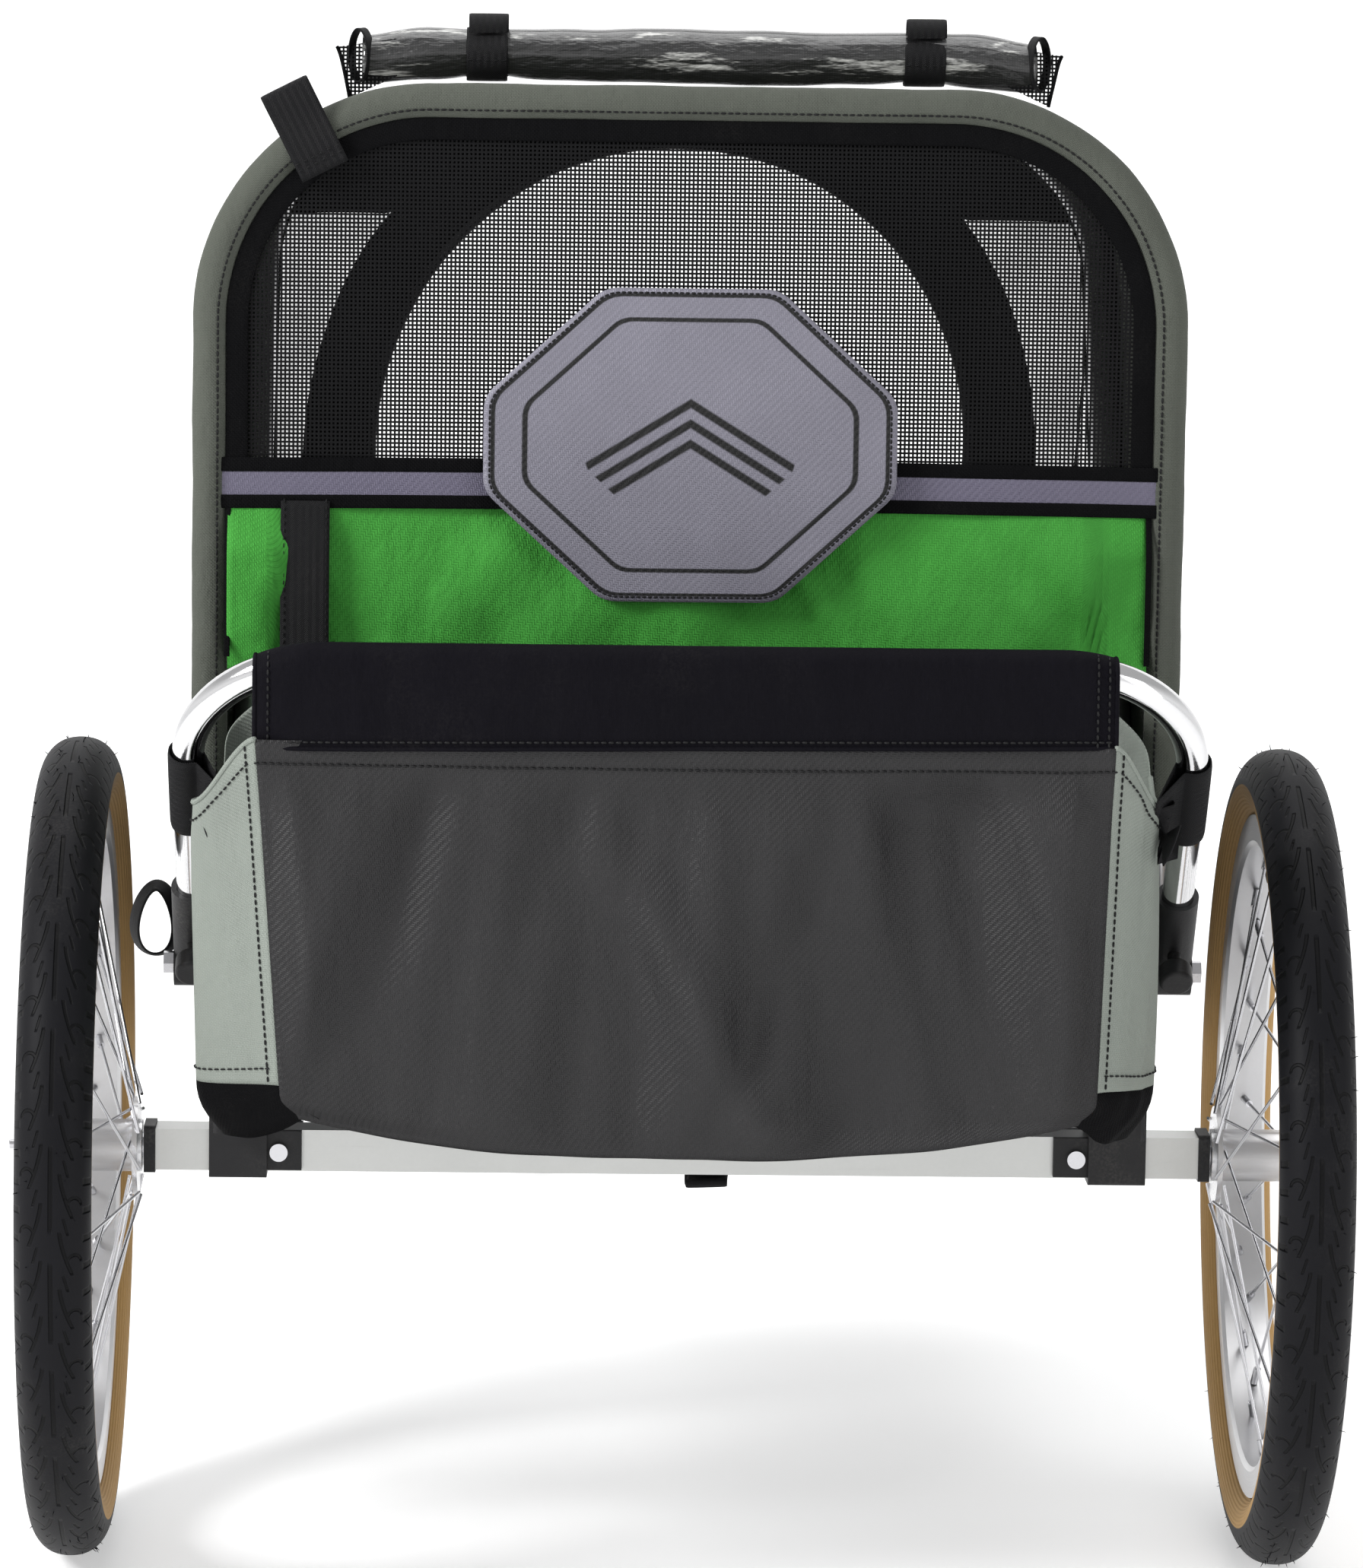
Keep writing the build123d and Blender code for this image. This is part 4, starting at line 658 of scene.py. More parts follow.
def reflective_material(name, colour, dark, border=None):
    """Reflective tape or patch: glass-bead sparkle over a fine ribbed weave, with painted shade between its threads.
    With a border, dark lines run near the edge, where U is 1, and slim chevrons point up its middle."""
    made, tree, shader = start_material(name)
    place = coordinates(tree, "Object")
    bead = noise(tree, place, 1800.0, 1.0)
    weave = use(tree, "weave", Vector=mapped(tree, place, rotation=(np.pi / 2, 0, 0)), Threads=850.0, Float=4.0)
    tone = use(tree, "fade", Vector=place, Colour=opaque(colour), Amount=0.25)
    # painted shade: colour darkened towards 0.6 of itself where the weave is low, between the threads
    shown = blend_colours(tree, maths(tree, "MULTIPLY", maths(tree, "SUBTRACT", 1.0, weave["Height"]), 0.35),
                          tone["Colour"], opaque([c * 0.6 for c in colour]))
    if border:
        at = node(tree, "ShaderNodeSeparateXYZ", {0: coordinates(tree, "UV")}).outputs[0]
        outer, inner_line = (use(tree, "groove", Distance=maths(tree, "SUBTRACT", at, where), Width=width)["Mask"]
                             for where, width in ((0.955, 0.010), (0.80, 0.013)))
        line = maths(tree, "MAXIMUM", outer, inner_line)
        xyz = node(tree, "ShaderNodeSeparateXYZ", {0: place})
        rise = maths(tree, "MULTIPLY_ADD", maths(tree, "ABSOLUTE", xyz.outputs[0]), 0.62, xyz.outputs[2])
        inner = ramp(tree, at, 0.50, 0.51, 1.0, 0.0)
        for level in border:
            stripe = use(tree, "groove", Distance=maths(tree, "SUBTRACT", rise, level), Width=0.0026)["Mask"]
            line = maths(tree, "MAXIMUM", line, maths(tree, "MULTIPLY", stripe, inner))
        shown = blend_colours(tree, line, shown, opaque(dark))
    join(tree, shader, Base_Color=shown, Metallic=ramp(tree, bead, 0.3, 0.7, 0.05, 0.40), Roughness=0.46,
         Normal=bump(tree, weave["Height"], 0.00018))
    return made


def floor_material(name, colour):
    """Matt studio floor with the faintest mottling."""
    made, tree, shader = start_material(name)
    tone = use(tree, "fade", Vector=coordinates(tree, "Object"), Colour=opaque(colour), Amount=0.02)
    join(tree, shader, Base_Color=tone["Colour"], Roughness=0.9, Specular_IOR_Level=0.1,
         Emission_Color=opaque((1.0, 1.0, 1.0)), Emission_Strength=0.42)
    return made


# ---------------------------------------------------------------- pieces: wheels
NODE_MIDDLE = {f"tyre_{n}": abs(sum(c.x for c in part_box(f"tyre_{n}")) / 2) for n in SIDES}


def tyre(name, side, sizes, look):
    """Tyre shell and its vent hairs. The section is a circle of radius r about the middle of the
    casing, from -146 to 146 degrees off the tread, and back along a smaller circle inside; each point
    goes round the axle: y = -R sin t, z = axle + R cos t."""
    wide, inner = sizes.tyre_width / 2, sizes.tyre_width / 2 - 0.003
    middle, x0 = sizes.wheel_diameter / 2 - wide, side * (NODE_MIDDLE[f"tyre_{name}"])
    a = np.concatenate([np.linspace(-146, 146, 74), np.linspace(146, -146, 26)]) * np.pi / 180
    r = np.concatenate([np.full(74, wide), np.full(26, inner)])
    crown = 1 - 0.035 * np.cos(a) ** 8
    t = np.linspace(0, 2 * np.pi, 240, endpoint=False)
    across, out = r * np.sin(a), middle + r * np.cos(a) * crown
    points = np.stack(np.broadcast_arrays(
        x0 + across, -out * np.sin(t)[:, None], AXLE_Z + out * np.cos(t)[:, None]), -1)
    distance = np.where(np.arange(100) < 74, wide * a, 0.06 * np.sign(a))
    uv = np.stack(np.meshgrid(np.linspace(0, np.pi * 0.5, 241), np.append(distance, distance[0]), indexing="ij"), -1)
    parts = [grid(points, closed=(True, True), uv=uv)]
    random = np.random.default_rng(31 if side < 0 else 47)
    count = 150
    at, lean = random.uniform(0, 2 * np.pi, count), random.uniform(-0.5, 0.5, (count, 2))
    place = random.choice([-62, -38, -22, -9, 9, 22, 38, 62], count) * np.pi / 180
    base_r = middle + wide * np.cos(place) * (1 - 0.035 * np.cos(place) ** 8)
    radial = np.stack([0 * at, -np.sin(at), np.cos(at)], -1)
    round_it = np.stack([0 * at, -np.cos(at), -np.sin(at)], -1)
    start = np.stack([x0 + wide * np.sin(place), 0 * at, AXLE_Z + 0 * at], -1) + radial * base_r[:, None]
    out = unit(radial * np.cos(place)[:, None] + np.array([1.0, 0, 0]) * np.sin(place)[:, None]
               + round_it * lean[:, :1] + np.array([1.0, 0, 0]) * lean[:, 1:])
    long = random.uniform(0.0015, 0.0046, count)
    u = np.array([-0.15, 0.0, 0.6, 1.0])
    thick = np.array([0.0, 0.00032, 0.00022, 0.0])
    turn = np.linspace(0, 2 * np.pi, 4, endpoint=False)
    b = unit(np.cross(out, round_it))
    c = np.cross(out, b)
    hair = (start[:, None, None] + out[:, None, None] * (long[:, None] * u)[:, :, None, None]
            + round_it[:, None, None] * (u ** 2 * 0.001)[None, :, None, None]
            + thick[None, :, None, None] * (np.cos(turn)[:, None] * b[:, None, None]
                                            + np.sin(turn)[:, None] * c[:, None, None]))
    parts.append(grid(hair, closed=(False, True), uv=np.zeros((4, 5, 2)) + [0.0, 0.0034]))
    obj = build(f"tyre_cover_{name}", parts, [look])
    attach(obj, f"wheel_{name}")
    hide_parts(f"tyre_{name}")


# ---------------------------------------------------------------- pieces: canopy
def canopy_roof(sizes, looks):
    """Roof sheet from the rear hoop to the front bow. Along the arch it follows both bows; across it
    wraps the hoop from its inner rear side (r (cos p N + sin p B), p from 165 to 0 degrees), runs
    straight with a sag of 4 t (1 - t), and wraps the bow to its inner front side."""
    count, gap = 221, sizes.sleeve_gap + TUBE
    rear, rear_out = HOOP.path(0.060, count)
    front, front_out = BOW.path(0.060, count)
    s = np.linspace(-1, 1, count)[:, None]
    p = np.radians(np.linspace(165, 0, 15))[None, :, None]
    pucker = 1 + 0.035 * ripples(s * 4, 0 * s, 5, 0.5, 0.06)[..., None]
    wrap_rear = rear[:, None] + gap * pucker * (np.cos(p) * rear_out[:, None] - np.sin(p) * HOOP.forward)
    q = p[:, ::-1]
    wrap_front = front[:, None] + gap * (np.cos(q) * front_out[:, None] + np.sin(q) * BOW.forward)
    t = np.linspace(0, 1, 30)[None, 1:-1]
    top = np.abs(rear_out[:, 2:3])
    sag = sizes.roof_sag * (0.35 + 0.65 * top) * 4 * t * (1 - t)
    fold = 0.0022 * ripples(s * 0.7 + 0.15 * t, t * 0.3, 8, 0.5, 0.05, 9, (0.2, 2.6)) * np.sin(np.pi * t)
    line = rear + gap * rear_out
    span = (1 - t[..., None]) * line[:, None] + t[..., None] * (front + gap * front_out)[:, None]
    normal = unit((1 - t[..., None]) * rear_out[:, None] + t[..., None] * front_out[:, None])
    span = span - normal * (sag + fold)[..., None]
    points = np.concatenate([wrap_rear, span, wrap_front], 1)
    seam_path = rear + gap * 1.04 * (np.cos(np.radians(112)) * rear_out - np.sin(np.radians(112)) * HOOP.forward)
    seam_out = np.cos(np.radians(112)) * rear_out - np.sin(np.radians(112)) * HOOP.forward
    obj = build("canopy_roof_cloth", [grid(points, inside=(0, 0.1, 0.6)),
                                      stitches(seam_path, seam_out, 1)], [looks["roof"], looks["thread"]])
    thicken(obj, 0.0007)
    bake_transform(obj)
    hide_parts("canopy_roof")


def hoop_inside(z):
    """Half width inside the hoop's sleeve at height z: straight legs, then
    half - bend + sqrt((bend - inset)^2 - (z - bend middle)^2)."""
    inset, top = TUBE + 0.0006, HOOP_HIGH.z - TUBE - HOOP.bend
    reach = HOOP.bend - inset
    rise = np.clip(z - top, 0, reach)
    return HOOP.half - HOOP.bend + np.sqrt(reach ** 2 - rise ** 2)


def rear_window(sizes, looks):
    """Net window: z rises as the sine of an even angle so rows crowd at the top, and x is the share
    of the hoop's inside half width there."""
    low, high = sizes.strip_top, HOOP_HIGH.z - 2 * TUBE - 0.0007
    z = low + (high - low) * np.sin(np.linspace(0, np.pi / 2, 34))
    x = np.linspace(-1, 1, 61)[:, None] * hoop_inside(z)
    y = HINGE[1] - 0.0058 + 0.0007 * ripples(x, z + 0 * x, 3, 0.3, 0.07)
    points = np.stack([x, y, np.broadcast_to(z, x.shape)], -1)
    uv = np.stack([x, np.broadcast_to(z, x.shape)], -1)
    obj = build("rear_window_net", [grid(points, uv=uv, inside=(0, 1, 0.8))], [looks["net"]])
    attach(obj, "rear_hoop")
    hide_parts("rear_panel")
    rear, out = HOOP.path(sizes.strip_top - HINGE[2], 151, -TUBE - 0.006)
    edge = build("window_binding", [ribbon(rear - HOOP.forward * 0.0072, out, 0.013, 0.0012)], [looks["black"]])
    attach(edge, "rear_hoop")


def lower_panel(sizes, looks):
    """Green cloth below the window. Its depth is y = hinge - 5.5 mm, falling forwards to the seat back
    lower down, and backwards round the bow's legs at the sides, plus slanting folds that fan out from
    the upper corners. Its lower edge rises outside the bow's legs."""
    top = sizes.strip_top - 0.004
    u, v = np.linspace(-1, 1, 141)[:, None], np.linspace(0, 1, 61)[None]
    x = u * (HOOP.half - TUBE - 0.001) + 0 * v
    low = 0.442 + 0.110 * smooth(np.abs(x), 0.232, 0.251)
    z = top - (top - low) * v
    lean = 0.0040 * smooth(0.600 - z, 0, 0.07)
    wing = -0.0055 * smooth(np.abs(x), 0.228, 0.252) * smooth(top - z, 0.018, 0.045)
    fall = smooth(top - z, 0.004, 0.05) * smooth(z, 0.50, 0.56)
    fan = ripples(x * 1.0 + 0.55 * (z - top), (z - top) * 0.5, 12, 0.20, 0.028, 10, (-0.12, 0.55))
    slack = ripples(x * 1.0 - 0.8 * (z - top), z * 0.3, 19, 0.26, 0.07, 6, (-0.3, 0.3))
    y = HINGE[1] - 0.0056 + lean + wing + fall * np.clip(0.0085 * fan + 0.0045 * slack - 0.0020, -0.0085, 0.0010)
    points = np.stack([x, y, z], -1)
    obj = build("rear_lower_panel", [grid(points, inside=(0, 1, 0.6))], [looks["green"]])
    thicken(obj, 0.0006)
    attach(obj, "rear_hoop")
    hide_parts("rear_panel")

    back = HINGE[1] - 0.0078
    span = np.linspace(-HOOP.half + 0.001, HOOP.half - 0.001, 120)
    wavy = 0.0004 * np.sin(span * 60) + 0.0003 * np.sin(span * 23 + 1)
    strip_low = sizes.strip_top - sizes.strip_height

    def band(name, z_mid, height, depth, look, thick=0.0008):
        path = np.stack([span, back - depth + wavy, np.full_like(span, z_mid) - 0.0016 * (span / 0.28) ** 2], 1)
        made = build(name, [ribbon(path, (0, 0, 1), height, thick)], [look])
        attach(made, "rear_hoop")
        return made

    strip = band("reflective_strip", (sizes.strip_top + strip_low) / 2, sizes.strip_height + 0.004, 0.0004,
                 looks["strip"])
    band("strip_binding_upper", sizes.strip_top + 0.0035, 0.0085, 0.0010, looks["black"])
    band("strip_binding_lower", strip_low - 0.0035, 0.0080, 0.0010, looks["black"])

    rise = np.linspace(strip_low - 0.004, 0.534, 30)
    path = np.stack([np.full(30, -0.2275), HINGE[1] - 0.0105 - 0.0045 * smooth(rise[0] - rise, 0.0, 0.03), rise], 1)
    parts = [ribbon(path, (1, 0, 0), 0.029, 0.0014)]
    parts += [stitches(path + [dx, -0.0010, 0], (0, -1, 0), 1) for dx in (-0.0125, 0.0125)]
    strap = build("panel_strap", parts, [looks["webbing"], looks["thread"]])
    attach(strap, "rear_hoop")

    sides = []
    for side in SIDES.values():
        z = np.linspace(top - 0.020, 0.560, 24)
        y = back - 0.0058 * smooth(top - z, 0.018, 0.045)
        path = np.stack([np.full(24, side * (HOOP.half - TUBE - 0.001)), y, z], 1)
        sides.append(ribbon(path, (1, 0.15 * side, 0), 0.0035, 0.0012))
    edges = build("panel_side_bindings", sides, [looks["black"]])
    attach(edges, "rear_hoop")


def badge(sizes, looks):
    """Plain reflective patch: rays from its middle to an eight-sided edge, |z| up to h and |x| up to
    w less a share of |z| past three tenths of h, and pulled into a faint dish with a rippled rim."""
    w, h = sizes.badge_width / 2, sizes.badge_height / 2
    corners = np.array([[w, -0.30 * h], [w, 0.30 * h], [0.42 * w, h], [-0.42 * w, h], [-w, 0.30 * h],
                        [-w, -0.30 * h], [-0.42 * w, -h], [0.42 * w, -h]])
    loop = rounded(np.insert(corners, 1, 0, 1), 0.008, 6, closed=True)
    edge = along(np.concatenate([loop, loop[:1]]), 193)[:-1]
    share = np.append(np.linspace(0, 0.9, 15), [0.94, 0.97, 1.0])
    x, z = edge[:, None, 0] * share, edge[:, None, 2] * share
    turn = np.linspace(0, 2 * np.pi, 193)[:-1, None]
    rim = smooth(share, 0.75, 1.0)
    y = (HINGE[1] - 0.0172 - 0.0007 * ripples(x, z, 21, 0.12, 0.03)
         - 0.0012 * rim * (0.5 + 0.5 * np.sin(7 * turn + 2 * np.sin(turn))))
    points = np.stack([x, y, z + sizes.badge_z], -1)
    uv = np.stack(np.broadcast_arrays(share[None], np.append(turn[:, 0], 2 * np.pi)[:, None]), -1)
    rim_path = np.concatenate([points[:, -2], points[:1, -2]]) + [0, -0.0005, 0]
    obj = build("rear_badge", [grid(points, closed=(True, False), uv=uv, inside=(0, 1, sizes.badge_z)),
                               stitches(rim_path, (0, -1, 0), 1, 0.0034, 0.0024, 0.00035)],
                [looks["badge"], looks["thread"]])
    thicken(obj, 0.0007)
    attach(obj, "rear_hoop")


def flag_tab(looks):
    """Folded webbing tab for a flag pole: a strap that goes up, over a fold and down again, tilted."""
    tilt, mid = np.radians(27), np.array([-0.229, HINGE[1] - 0.0132, 0.872])
    up = np.array([-np.sin(tilt), 0, np.cos(tilt)])
    a = np.linspace(0, np.pi, 9)
    climb = np.linspace(-0.027, 0.026, 14)
    rise = np.concatenate([climb, 0.026 + 0.0022 * np.sin(a[1:-1]), np.linspace(0.026, -0.027, 14)])
    deep = np.concatenate([np.full(14, -0.0016), -0.0016 * np.cos(a[1:-1]), np.full(14, 0.0016)])
    deep = deep * (1 + 0.8 * smooth(rise, 0.0, 0.022))
    path = mid + rise[:, None] * up + deep[:, None] * np.array([0, 1.0, 0])
    across = np.array([np.cos(tilt), 0, np.sin(tilt)])
    parts = [ribbon(path, across, 0.030, 0.0013)]
    parts += [stitches(mid + np.linspace(-0.013, 0.013, 5)[:, None] * across + up * k + [0, -0.0027, 0], (0, -1, 0), 1)
              for k in (-0.020, -0.016)]
    obj = build("flag_sleeve", parts, [looks["webbing"], looks["thread"]])
    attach(obj, "rear_hoop")
    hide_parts("flag_tab")


def front_foot():
    """Foot and top of the sloping front panel: it rises from the tub's front edge and touches the
    bow's crossbar, so it leans by the angle to the crossbar less asin(gap / distance)."""
    gap = TUBE + 0.0003
    y0, z0 = 0.655, 0.406
    dy, dz = BOW_HIGH.y - TUBE - y0, BOW_HIGH.z - TUBE - z0
    far = np.hypot(dy, dz)
    lean = np.arctan2(-dy, dz) - np.arcsin(gap / far)
    return np.array([0, y0, z0]), np.array([0, -np.sin(lean), np.cos(lean)]), np.array(
        [0, np.cos(lean), np.sin(lean)]), np.sqrt(far ** 2 - gap ** 2)


def front_window(sizes, looks):
    """Front panel with its doorway, a half ellipse on straight legs: rays from the doorway's edge to
    the outer arch, matched point by point round both loops, in three zones: a black band, a clear
    pane up to a level, and black cloth above it; each ray bulges forward by sin(pi t)."""
    foot, up, ahead, height = front_foot()

    def loop(half, low, top, bend, count):
        """A closed arch, evenly spaced, starting and ending at the middle of its lower edge."""
        c = [[0, 0, low], [-half, 0, low], [-half, 0, top], [half, 0, top], [half, 0, low], [0, 0, low]]
        return along(rounded(c, bend, 16), count)[:-1]

    outer = loop(BOW.half + TUBE, 0.0, height, 0.115, 401)
    crown, spring = height - sizes.door_crown, sizes.door_spring
    a = np.linspace(np.pi, 0, 60)
    oval = np.stack([sizes.door_half * np.cos(a), 0 * a, spring + (crown - spring) * np.sin(a)], 1)
    low = rounded([[0, 0, sizes.door_sill], [-sizes.door_half, 0, sizes.door_sill], oval[0]], 0.03)
    door = along(np.concatenate([low[:-1], oval, low[-2::-1] * [-1, 1, 1]]), 401)[:-1]
    span = outer - door
    far = np.linalg.norm(span, axis=1)
    band = np.minimum(1.0, sizes.door_band / far)
    cap = np.where(outer[:, 2] > sizes.pane_top, (sizes.pane_top - door[:, 2]) / np.maximum(span[:, 2], 1e-6), 1.0)
    cap = np.maximum(band, np.clip(cap, 0, 1))

    def zone(start, end, count):
        """The part of every ray between two shares of it from the doorway outwards."""
        t = start[:, None] + (end - start)[:, None] * np.linspace(0, 1, count)
        flat = door[:, None] + span[:, None] * t[..., None]
        bulge = 0.003 * np.sin(np.pi * t) + 0.0012 * ripples(flat[..., 0], flat[..., 2], 33, 0.3, 0.06)
        return foot + flat[..., :1] * [1, 0, 0] + flat[..., 2:] * up + bulge[..., None] * ahead

    near, pane, top = zone(0 * far, band, 9), zone(band, cap, 9), zone(cap, 0 * far + 1, 9)
    points = zone(0 * far, 0 * far + 1, 20)
    edge = np.concatenate([near[:, -2], near[:1, -2]])
    obj = build("front_panel_cloth", [grid(near, closed=(True, False), inside=(0, 0, 0.5)),
                                      grid(pane, closed=(True, False), inside=(0, 0, 0.5), material=3),
                                      grid(top, closed=(True, False), inside=(0, 0, 0.5)),
                                      tube(near[:, 0], 0.0028, 8, closed=True, material=1),
                                      stitches(edge + ahead * 0.0006, ahead, 2)],
                [looks["black"], looks["webbing"], looks["thread"], looks["pane"]], merge=1e-5)
    thicken(obj, 0.0006)
    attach(obj, "frame")
    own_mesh(obj)
    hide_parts("front_panel")


def side_windows(looks):
    """Side windows: each mixes its rear edge along the bow's leg with its front edge along the front
    panel; black cloth round a clear pane."""
    foot, up, _, height = front_foot()
    for name, side in SIDES.items():
        x0 = side * (BOW.half + TUBE + 0.0006)
        bow_low, bow_high = (BOW.hinge + BOW.up * h + [x0, 0, 0] for h in (0.060, BOW.height - 0.080))
        front_high = foot + up * (height - 0.080) + [x0, 0, 0]
        rear = along(rounded([[x0, bow_low[1] + 0.010, 0.406], bow_low, bow_high], 0.01), 60)
        front = along([foot + [x0, 0, 0], front_high], 60)
        t = np.linspace(0, 1, 60)[:, None, None]
        points = (1 - t) * rear[None] + t * front[None]
        v = np.linspace(0, 1, 60)[None]
        t = t[..., 0]
        points[..., 0] -= side * 0.005 * np.sin(np.pi * t) * np.sin(np.pi * v) * (1 + 0.4 * ripples(t, v, 41, 0.6, 0.2))
        points[..., 0] -= side * 0.022 * smooth(v, 0.84, 1.0) ** 2
        points[..., 2] += 0.004 * smooth(v, 0.84, 1.0)
        pane = (slice(6, -8), slice(5, -9))
        parts = [grid(points[pane], inside=(0, 0.3, 0.6), material=1)]
        frame_parts = [points[:7], points[-9:], points[6:-8, :6], points[6:-8, -10:]]
        parts += [grid(p, inside=(0, 0.3, 0.6)) for p in frame_parts]
        rim = np.concatenate([points[6, 5:-9], points[6:-8, -10], points[-9, 5:-9][::-1], points[6:-8, 5][::-1]])
        rim = along(rounded(rim, 0.004, 3), 200) + [side * 0.0006, 0, 0]
        parts.append(stitches(rim, (side, 0, 0), 2))
        obj = build(f"side_window_{name}", parts, [looks["black"], looks["pane"], looks["thread"]], merge=2e-5)
        thicken(obj, 0.0005)
        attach(obj, "frame")
        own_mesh(obj)
        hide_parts("side_windows")


def rolled_cover(sizes, looks):
    """Rolled storm cover: a spiral r = r0 + growth a over three turns, carried along X, squeezed at
    the straps, rippled, flared at its ends, with webbing rings at the ends and two straps round it."""
    low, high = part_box("rolled_cover")
    mid = np.array([0, (low.y + high.y) / 2, (low.z + high.z) / 2])
    size = (high.z - low.z) / 2
    x = np.linspace(low.x + 0.004, high.x - 0.004, 150)[:, None]
    a = np.linspace(0, 2 * np.pi * 3.15, 120)[None]
    squeeze = sum(np.exp(-((x - s) / 0.022) ** 2) for s in sizes.roll_straps)
    ends = smooth(np.abs(x - (low.x + high.x) / 2), 0.17, 0.215)
    r = size * (0.55 + 0.60 * a / a.max()) * (1 - 0.12 * squeeze - 0.05 * ends)
    r = r * (1 + 0.085 * ripples(x * 1.0, a * 0.012, 51, 0.2, 0.02, 12, (0.1, 1.2)))
    sag = -0.0016 * (1 - squeeze) - 0.004 * ends
    points = np.stack([x + 0 * a, mid[1] + r * np.sin(a), mid[2] + sag + r * np.cos(a) * 0.97], -1)
    obj = build("rolled_cover_cloth", [grid(points)], [looks["rolled"]])
    thicken(obj, 0.0005)
    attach(obj, "front_bow")
    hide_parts("rolled_cover")

    parts = []
    a = np.linspace(0, 2 * np.pi, 49)[:-1]
    for s in sizes.roll_straps:
        r = size * 1.02 + 0.0006 * np.sin(3 * a)
        ring = mid + np.stack([np.full(48, s), r * np.sin(a) * 1.02, r * np.cos(a) - 0.0008], 1)
        parts.append(ribbon(ring, (1, 0, 0), sizes.roll_strap_width, 0.0016, closed=True))
        b = np.linspace(-0.4, np.pi + 0.4, 20)
        loop = mid + np.stack([np.full(20, s + 0.001), -0.004 + 0.0095 * np.cos(b),
                               size * 1.02 + 0.0002 + 0.0080 * np.sin(b)], 1)
        parts.append(ribbon(loop, (1, 0.05, 0), sizes.roll_strap_width * 0.97, 0.0015))
        rows = mid + np.stack([np.linspace(-0.011, 0.011, 6) + s, np.full(6, -size * 1.02 - 0.0012),
                               np.full(6, -0.004)], 1)
        parts.append(stitches(rows, (0, -1, 0), 1))
    for end, side in ((low.x, -1), (high.x, 1)):
        b = np.linspace(0, 2 * np.pi, 41)[:-1]
        ring = np.stack([end + side * (0.0 + 0.006 * np.cos(b)) - side * 0.003, mid[1] - 0.010 + 0.004 * np.cos(b),
                         mid[2] - 0.002 + 0.0165 * np.sin(b)], 1)
        parts.append(ribbon(ring, (0.35 * side, -1, 0), 0.012, 0.0014, closed=True))
    wings = []
    for end, side in ((low.x, -1), (high.x, 1)):
        u, v = np.linspace(0, 1, 22)[:, None], np.linspace(-1, 1, 15)[None]
        flare = 0.0120 + 0.004 * u - 0.004 * u * v
        wing = np.stack([end - side * (0.026 - 0.034 * u - 0.004 * v * u),
                         mid[1] - 0.012 - 0.003 * np.cos(3 * v + u) * u,
                         mid[2] - 0.003 - 0.006 * u + flare * v], -1)
        wings.append(grid(wing, uv=np.stack([wing[..., 0], wing[..., 2]], -1)))
        wings.append(tube(wing[-1], 0.0012, 8, material=1))
    corners = build("cover_net_corners", wings, [looks["net"], looks["black"]])
    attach(corners, "front_bow")
    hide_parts("rolled_cover")
    straps = build("cover_strap_webbing", parts, [looks["webbing"], looks["thread"]])
    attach(straps, "front_bow")
    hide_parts("cover_straps")


# ---------------------------------------------------------------- pieces: trunk bag and push bar
def bag_piece(name, parts, materials):
    """Finish one cloth of the trunk bag: give it its thickness, bake its placement into its points and hide the frame's
    bag.
    The real bag stays on the frame low down and goes with the push bar towards its upper rear edge; this cloth is tied
    to neither."""
    obj = build(name, parts, materials)
    thicken(obj, 0.0006)
    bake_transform(obj)
    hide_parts("trunk_bag")
    return obj


def bag_seam(side, v):
    """Rear corner seam of the bag, v from 0 at the top to 1 at the bottom."""
    x = np.where(side < 0, -0.2500 + 0.0160 * v, 0.2415 - 0.0065 * v) - side * 0.010 * smooth(v, 0.93, 1.0) ** 2
    y = -0.2460 + 0.0065 * smooth(v, 0.0, 0.22)
    return np.stack([x, y, 0.5335 - 0.2205 * v], -1)


def bag_wall(side, w, v):
    """Side wall of the bag: w goes along its plan from the rear seam round the shoulder to the front
    edge, v from its upper edge, which dips to the shoulder, to its lower edge; it puffs out and folds
    mostly up and down."""
    seam = bag_seam(side, v)
    puffed = [[0.2860, -0.2060, 0], [0.2720, -0.1760, 0]] if side < 0 else [[0.2715, -0.2000, 0], [0.2725, -0.1500, 0]]
    plan = along(rounded([[0.2345, -0.2395, 0]] + puffed + [[0.2722, -0.1050, 0], [0.2410, -0.0965, 0],
                          [0.2405, -0.0650, 0]], 0.014, 7), 400)
    share = np.linspace(0, 1, 400)
    x, y = side * np.interp(w, share, plan[:, 0]), np.interp(w, share, plan[:, 1])
    follow = (1 - smooth(w, 0.0, 0.45))
    x = x + (seam[..., 0] - side * 0.2345) * follow
    y = y + (seam[..., 1] + 0.2395) * follow
    high = 0.5335 - 0.042 * smooth(w, 0.0, 0.27) ** 0.8 + 0.054 * smooth(w, 0.50, 0.92)
    z = high + (0.3130 - high) * v
    fold = ripples(w * 0.22, (z - 0.4) * 0.35, 61 if side < 0 else 67, 0.12, 0.018, 9, (-0.35, 0.35))
    puff = 0.0012 * np.sin(np.pi * np.clip(w / 0.6, 0, 1)) * np.sin(np.pi * v)
    out = puff + 0.0036 * fold * smooth(w, 0.02, 0.12) * (1 - smooth(w, 0.52, 0.62)) * smooth(v, 0.0, 0.12)
    return np.stack([x + side * np.clip(out, -0.006, 0.0022), y, z], -1)


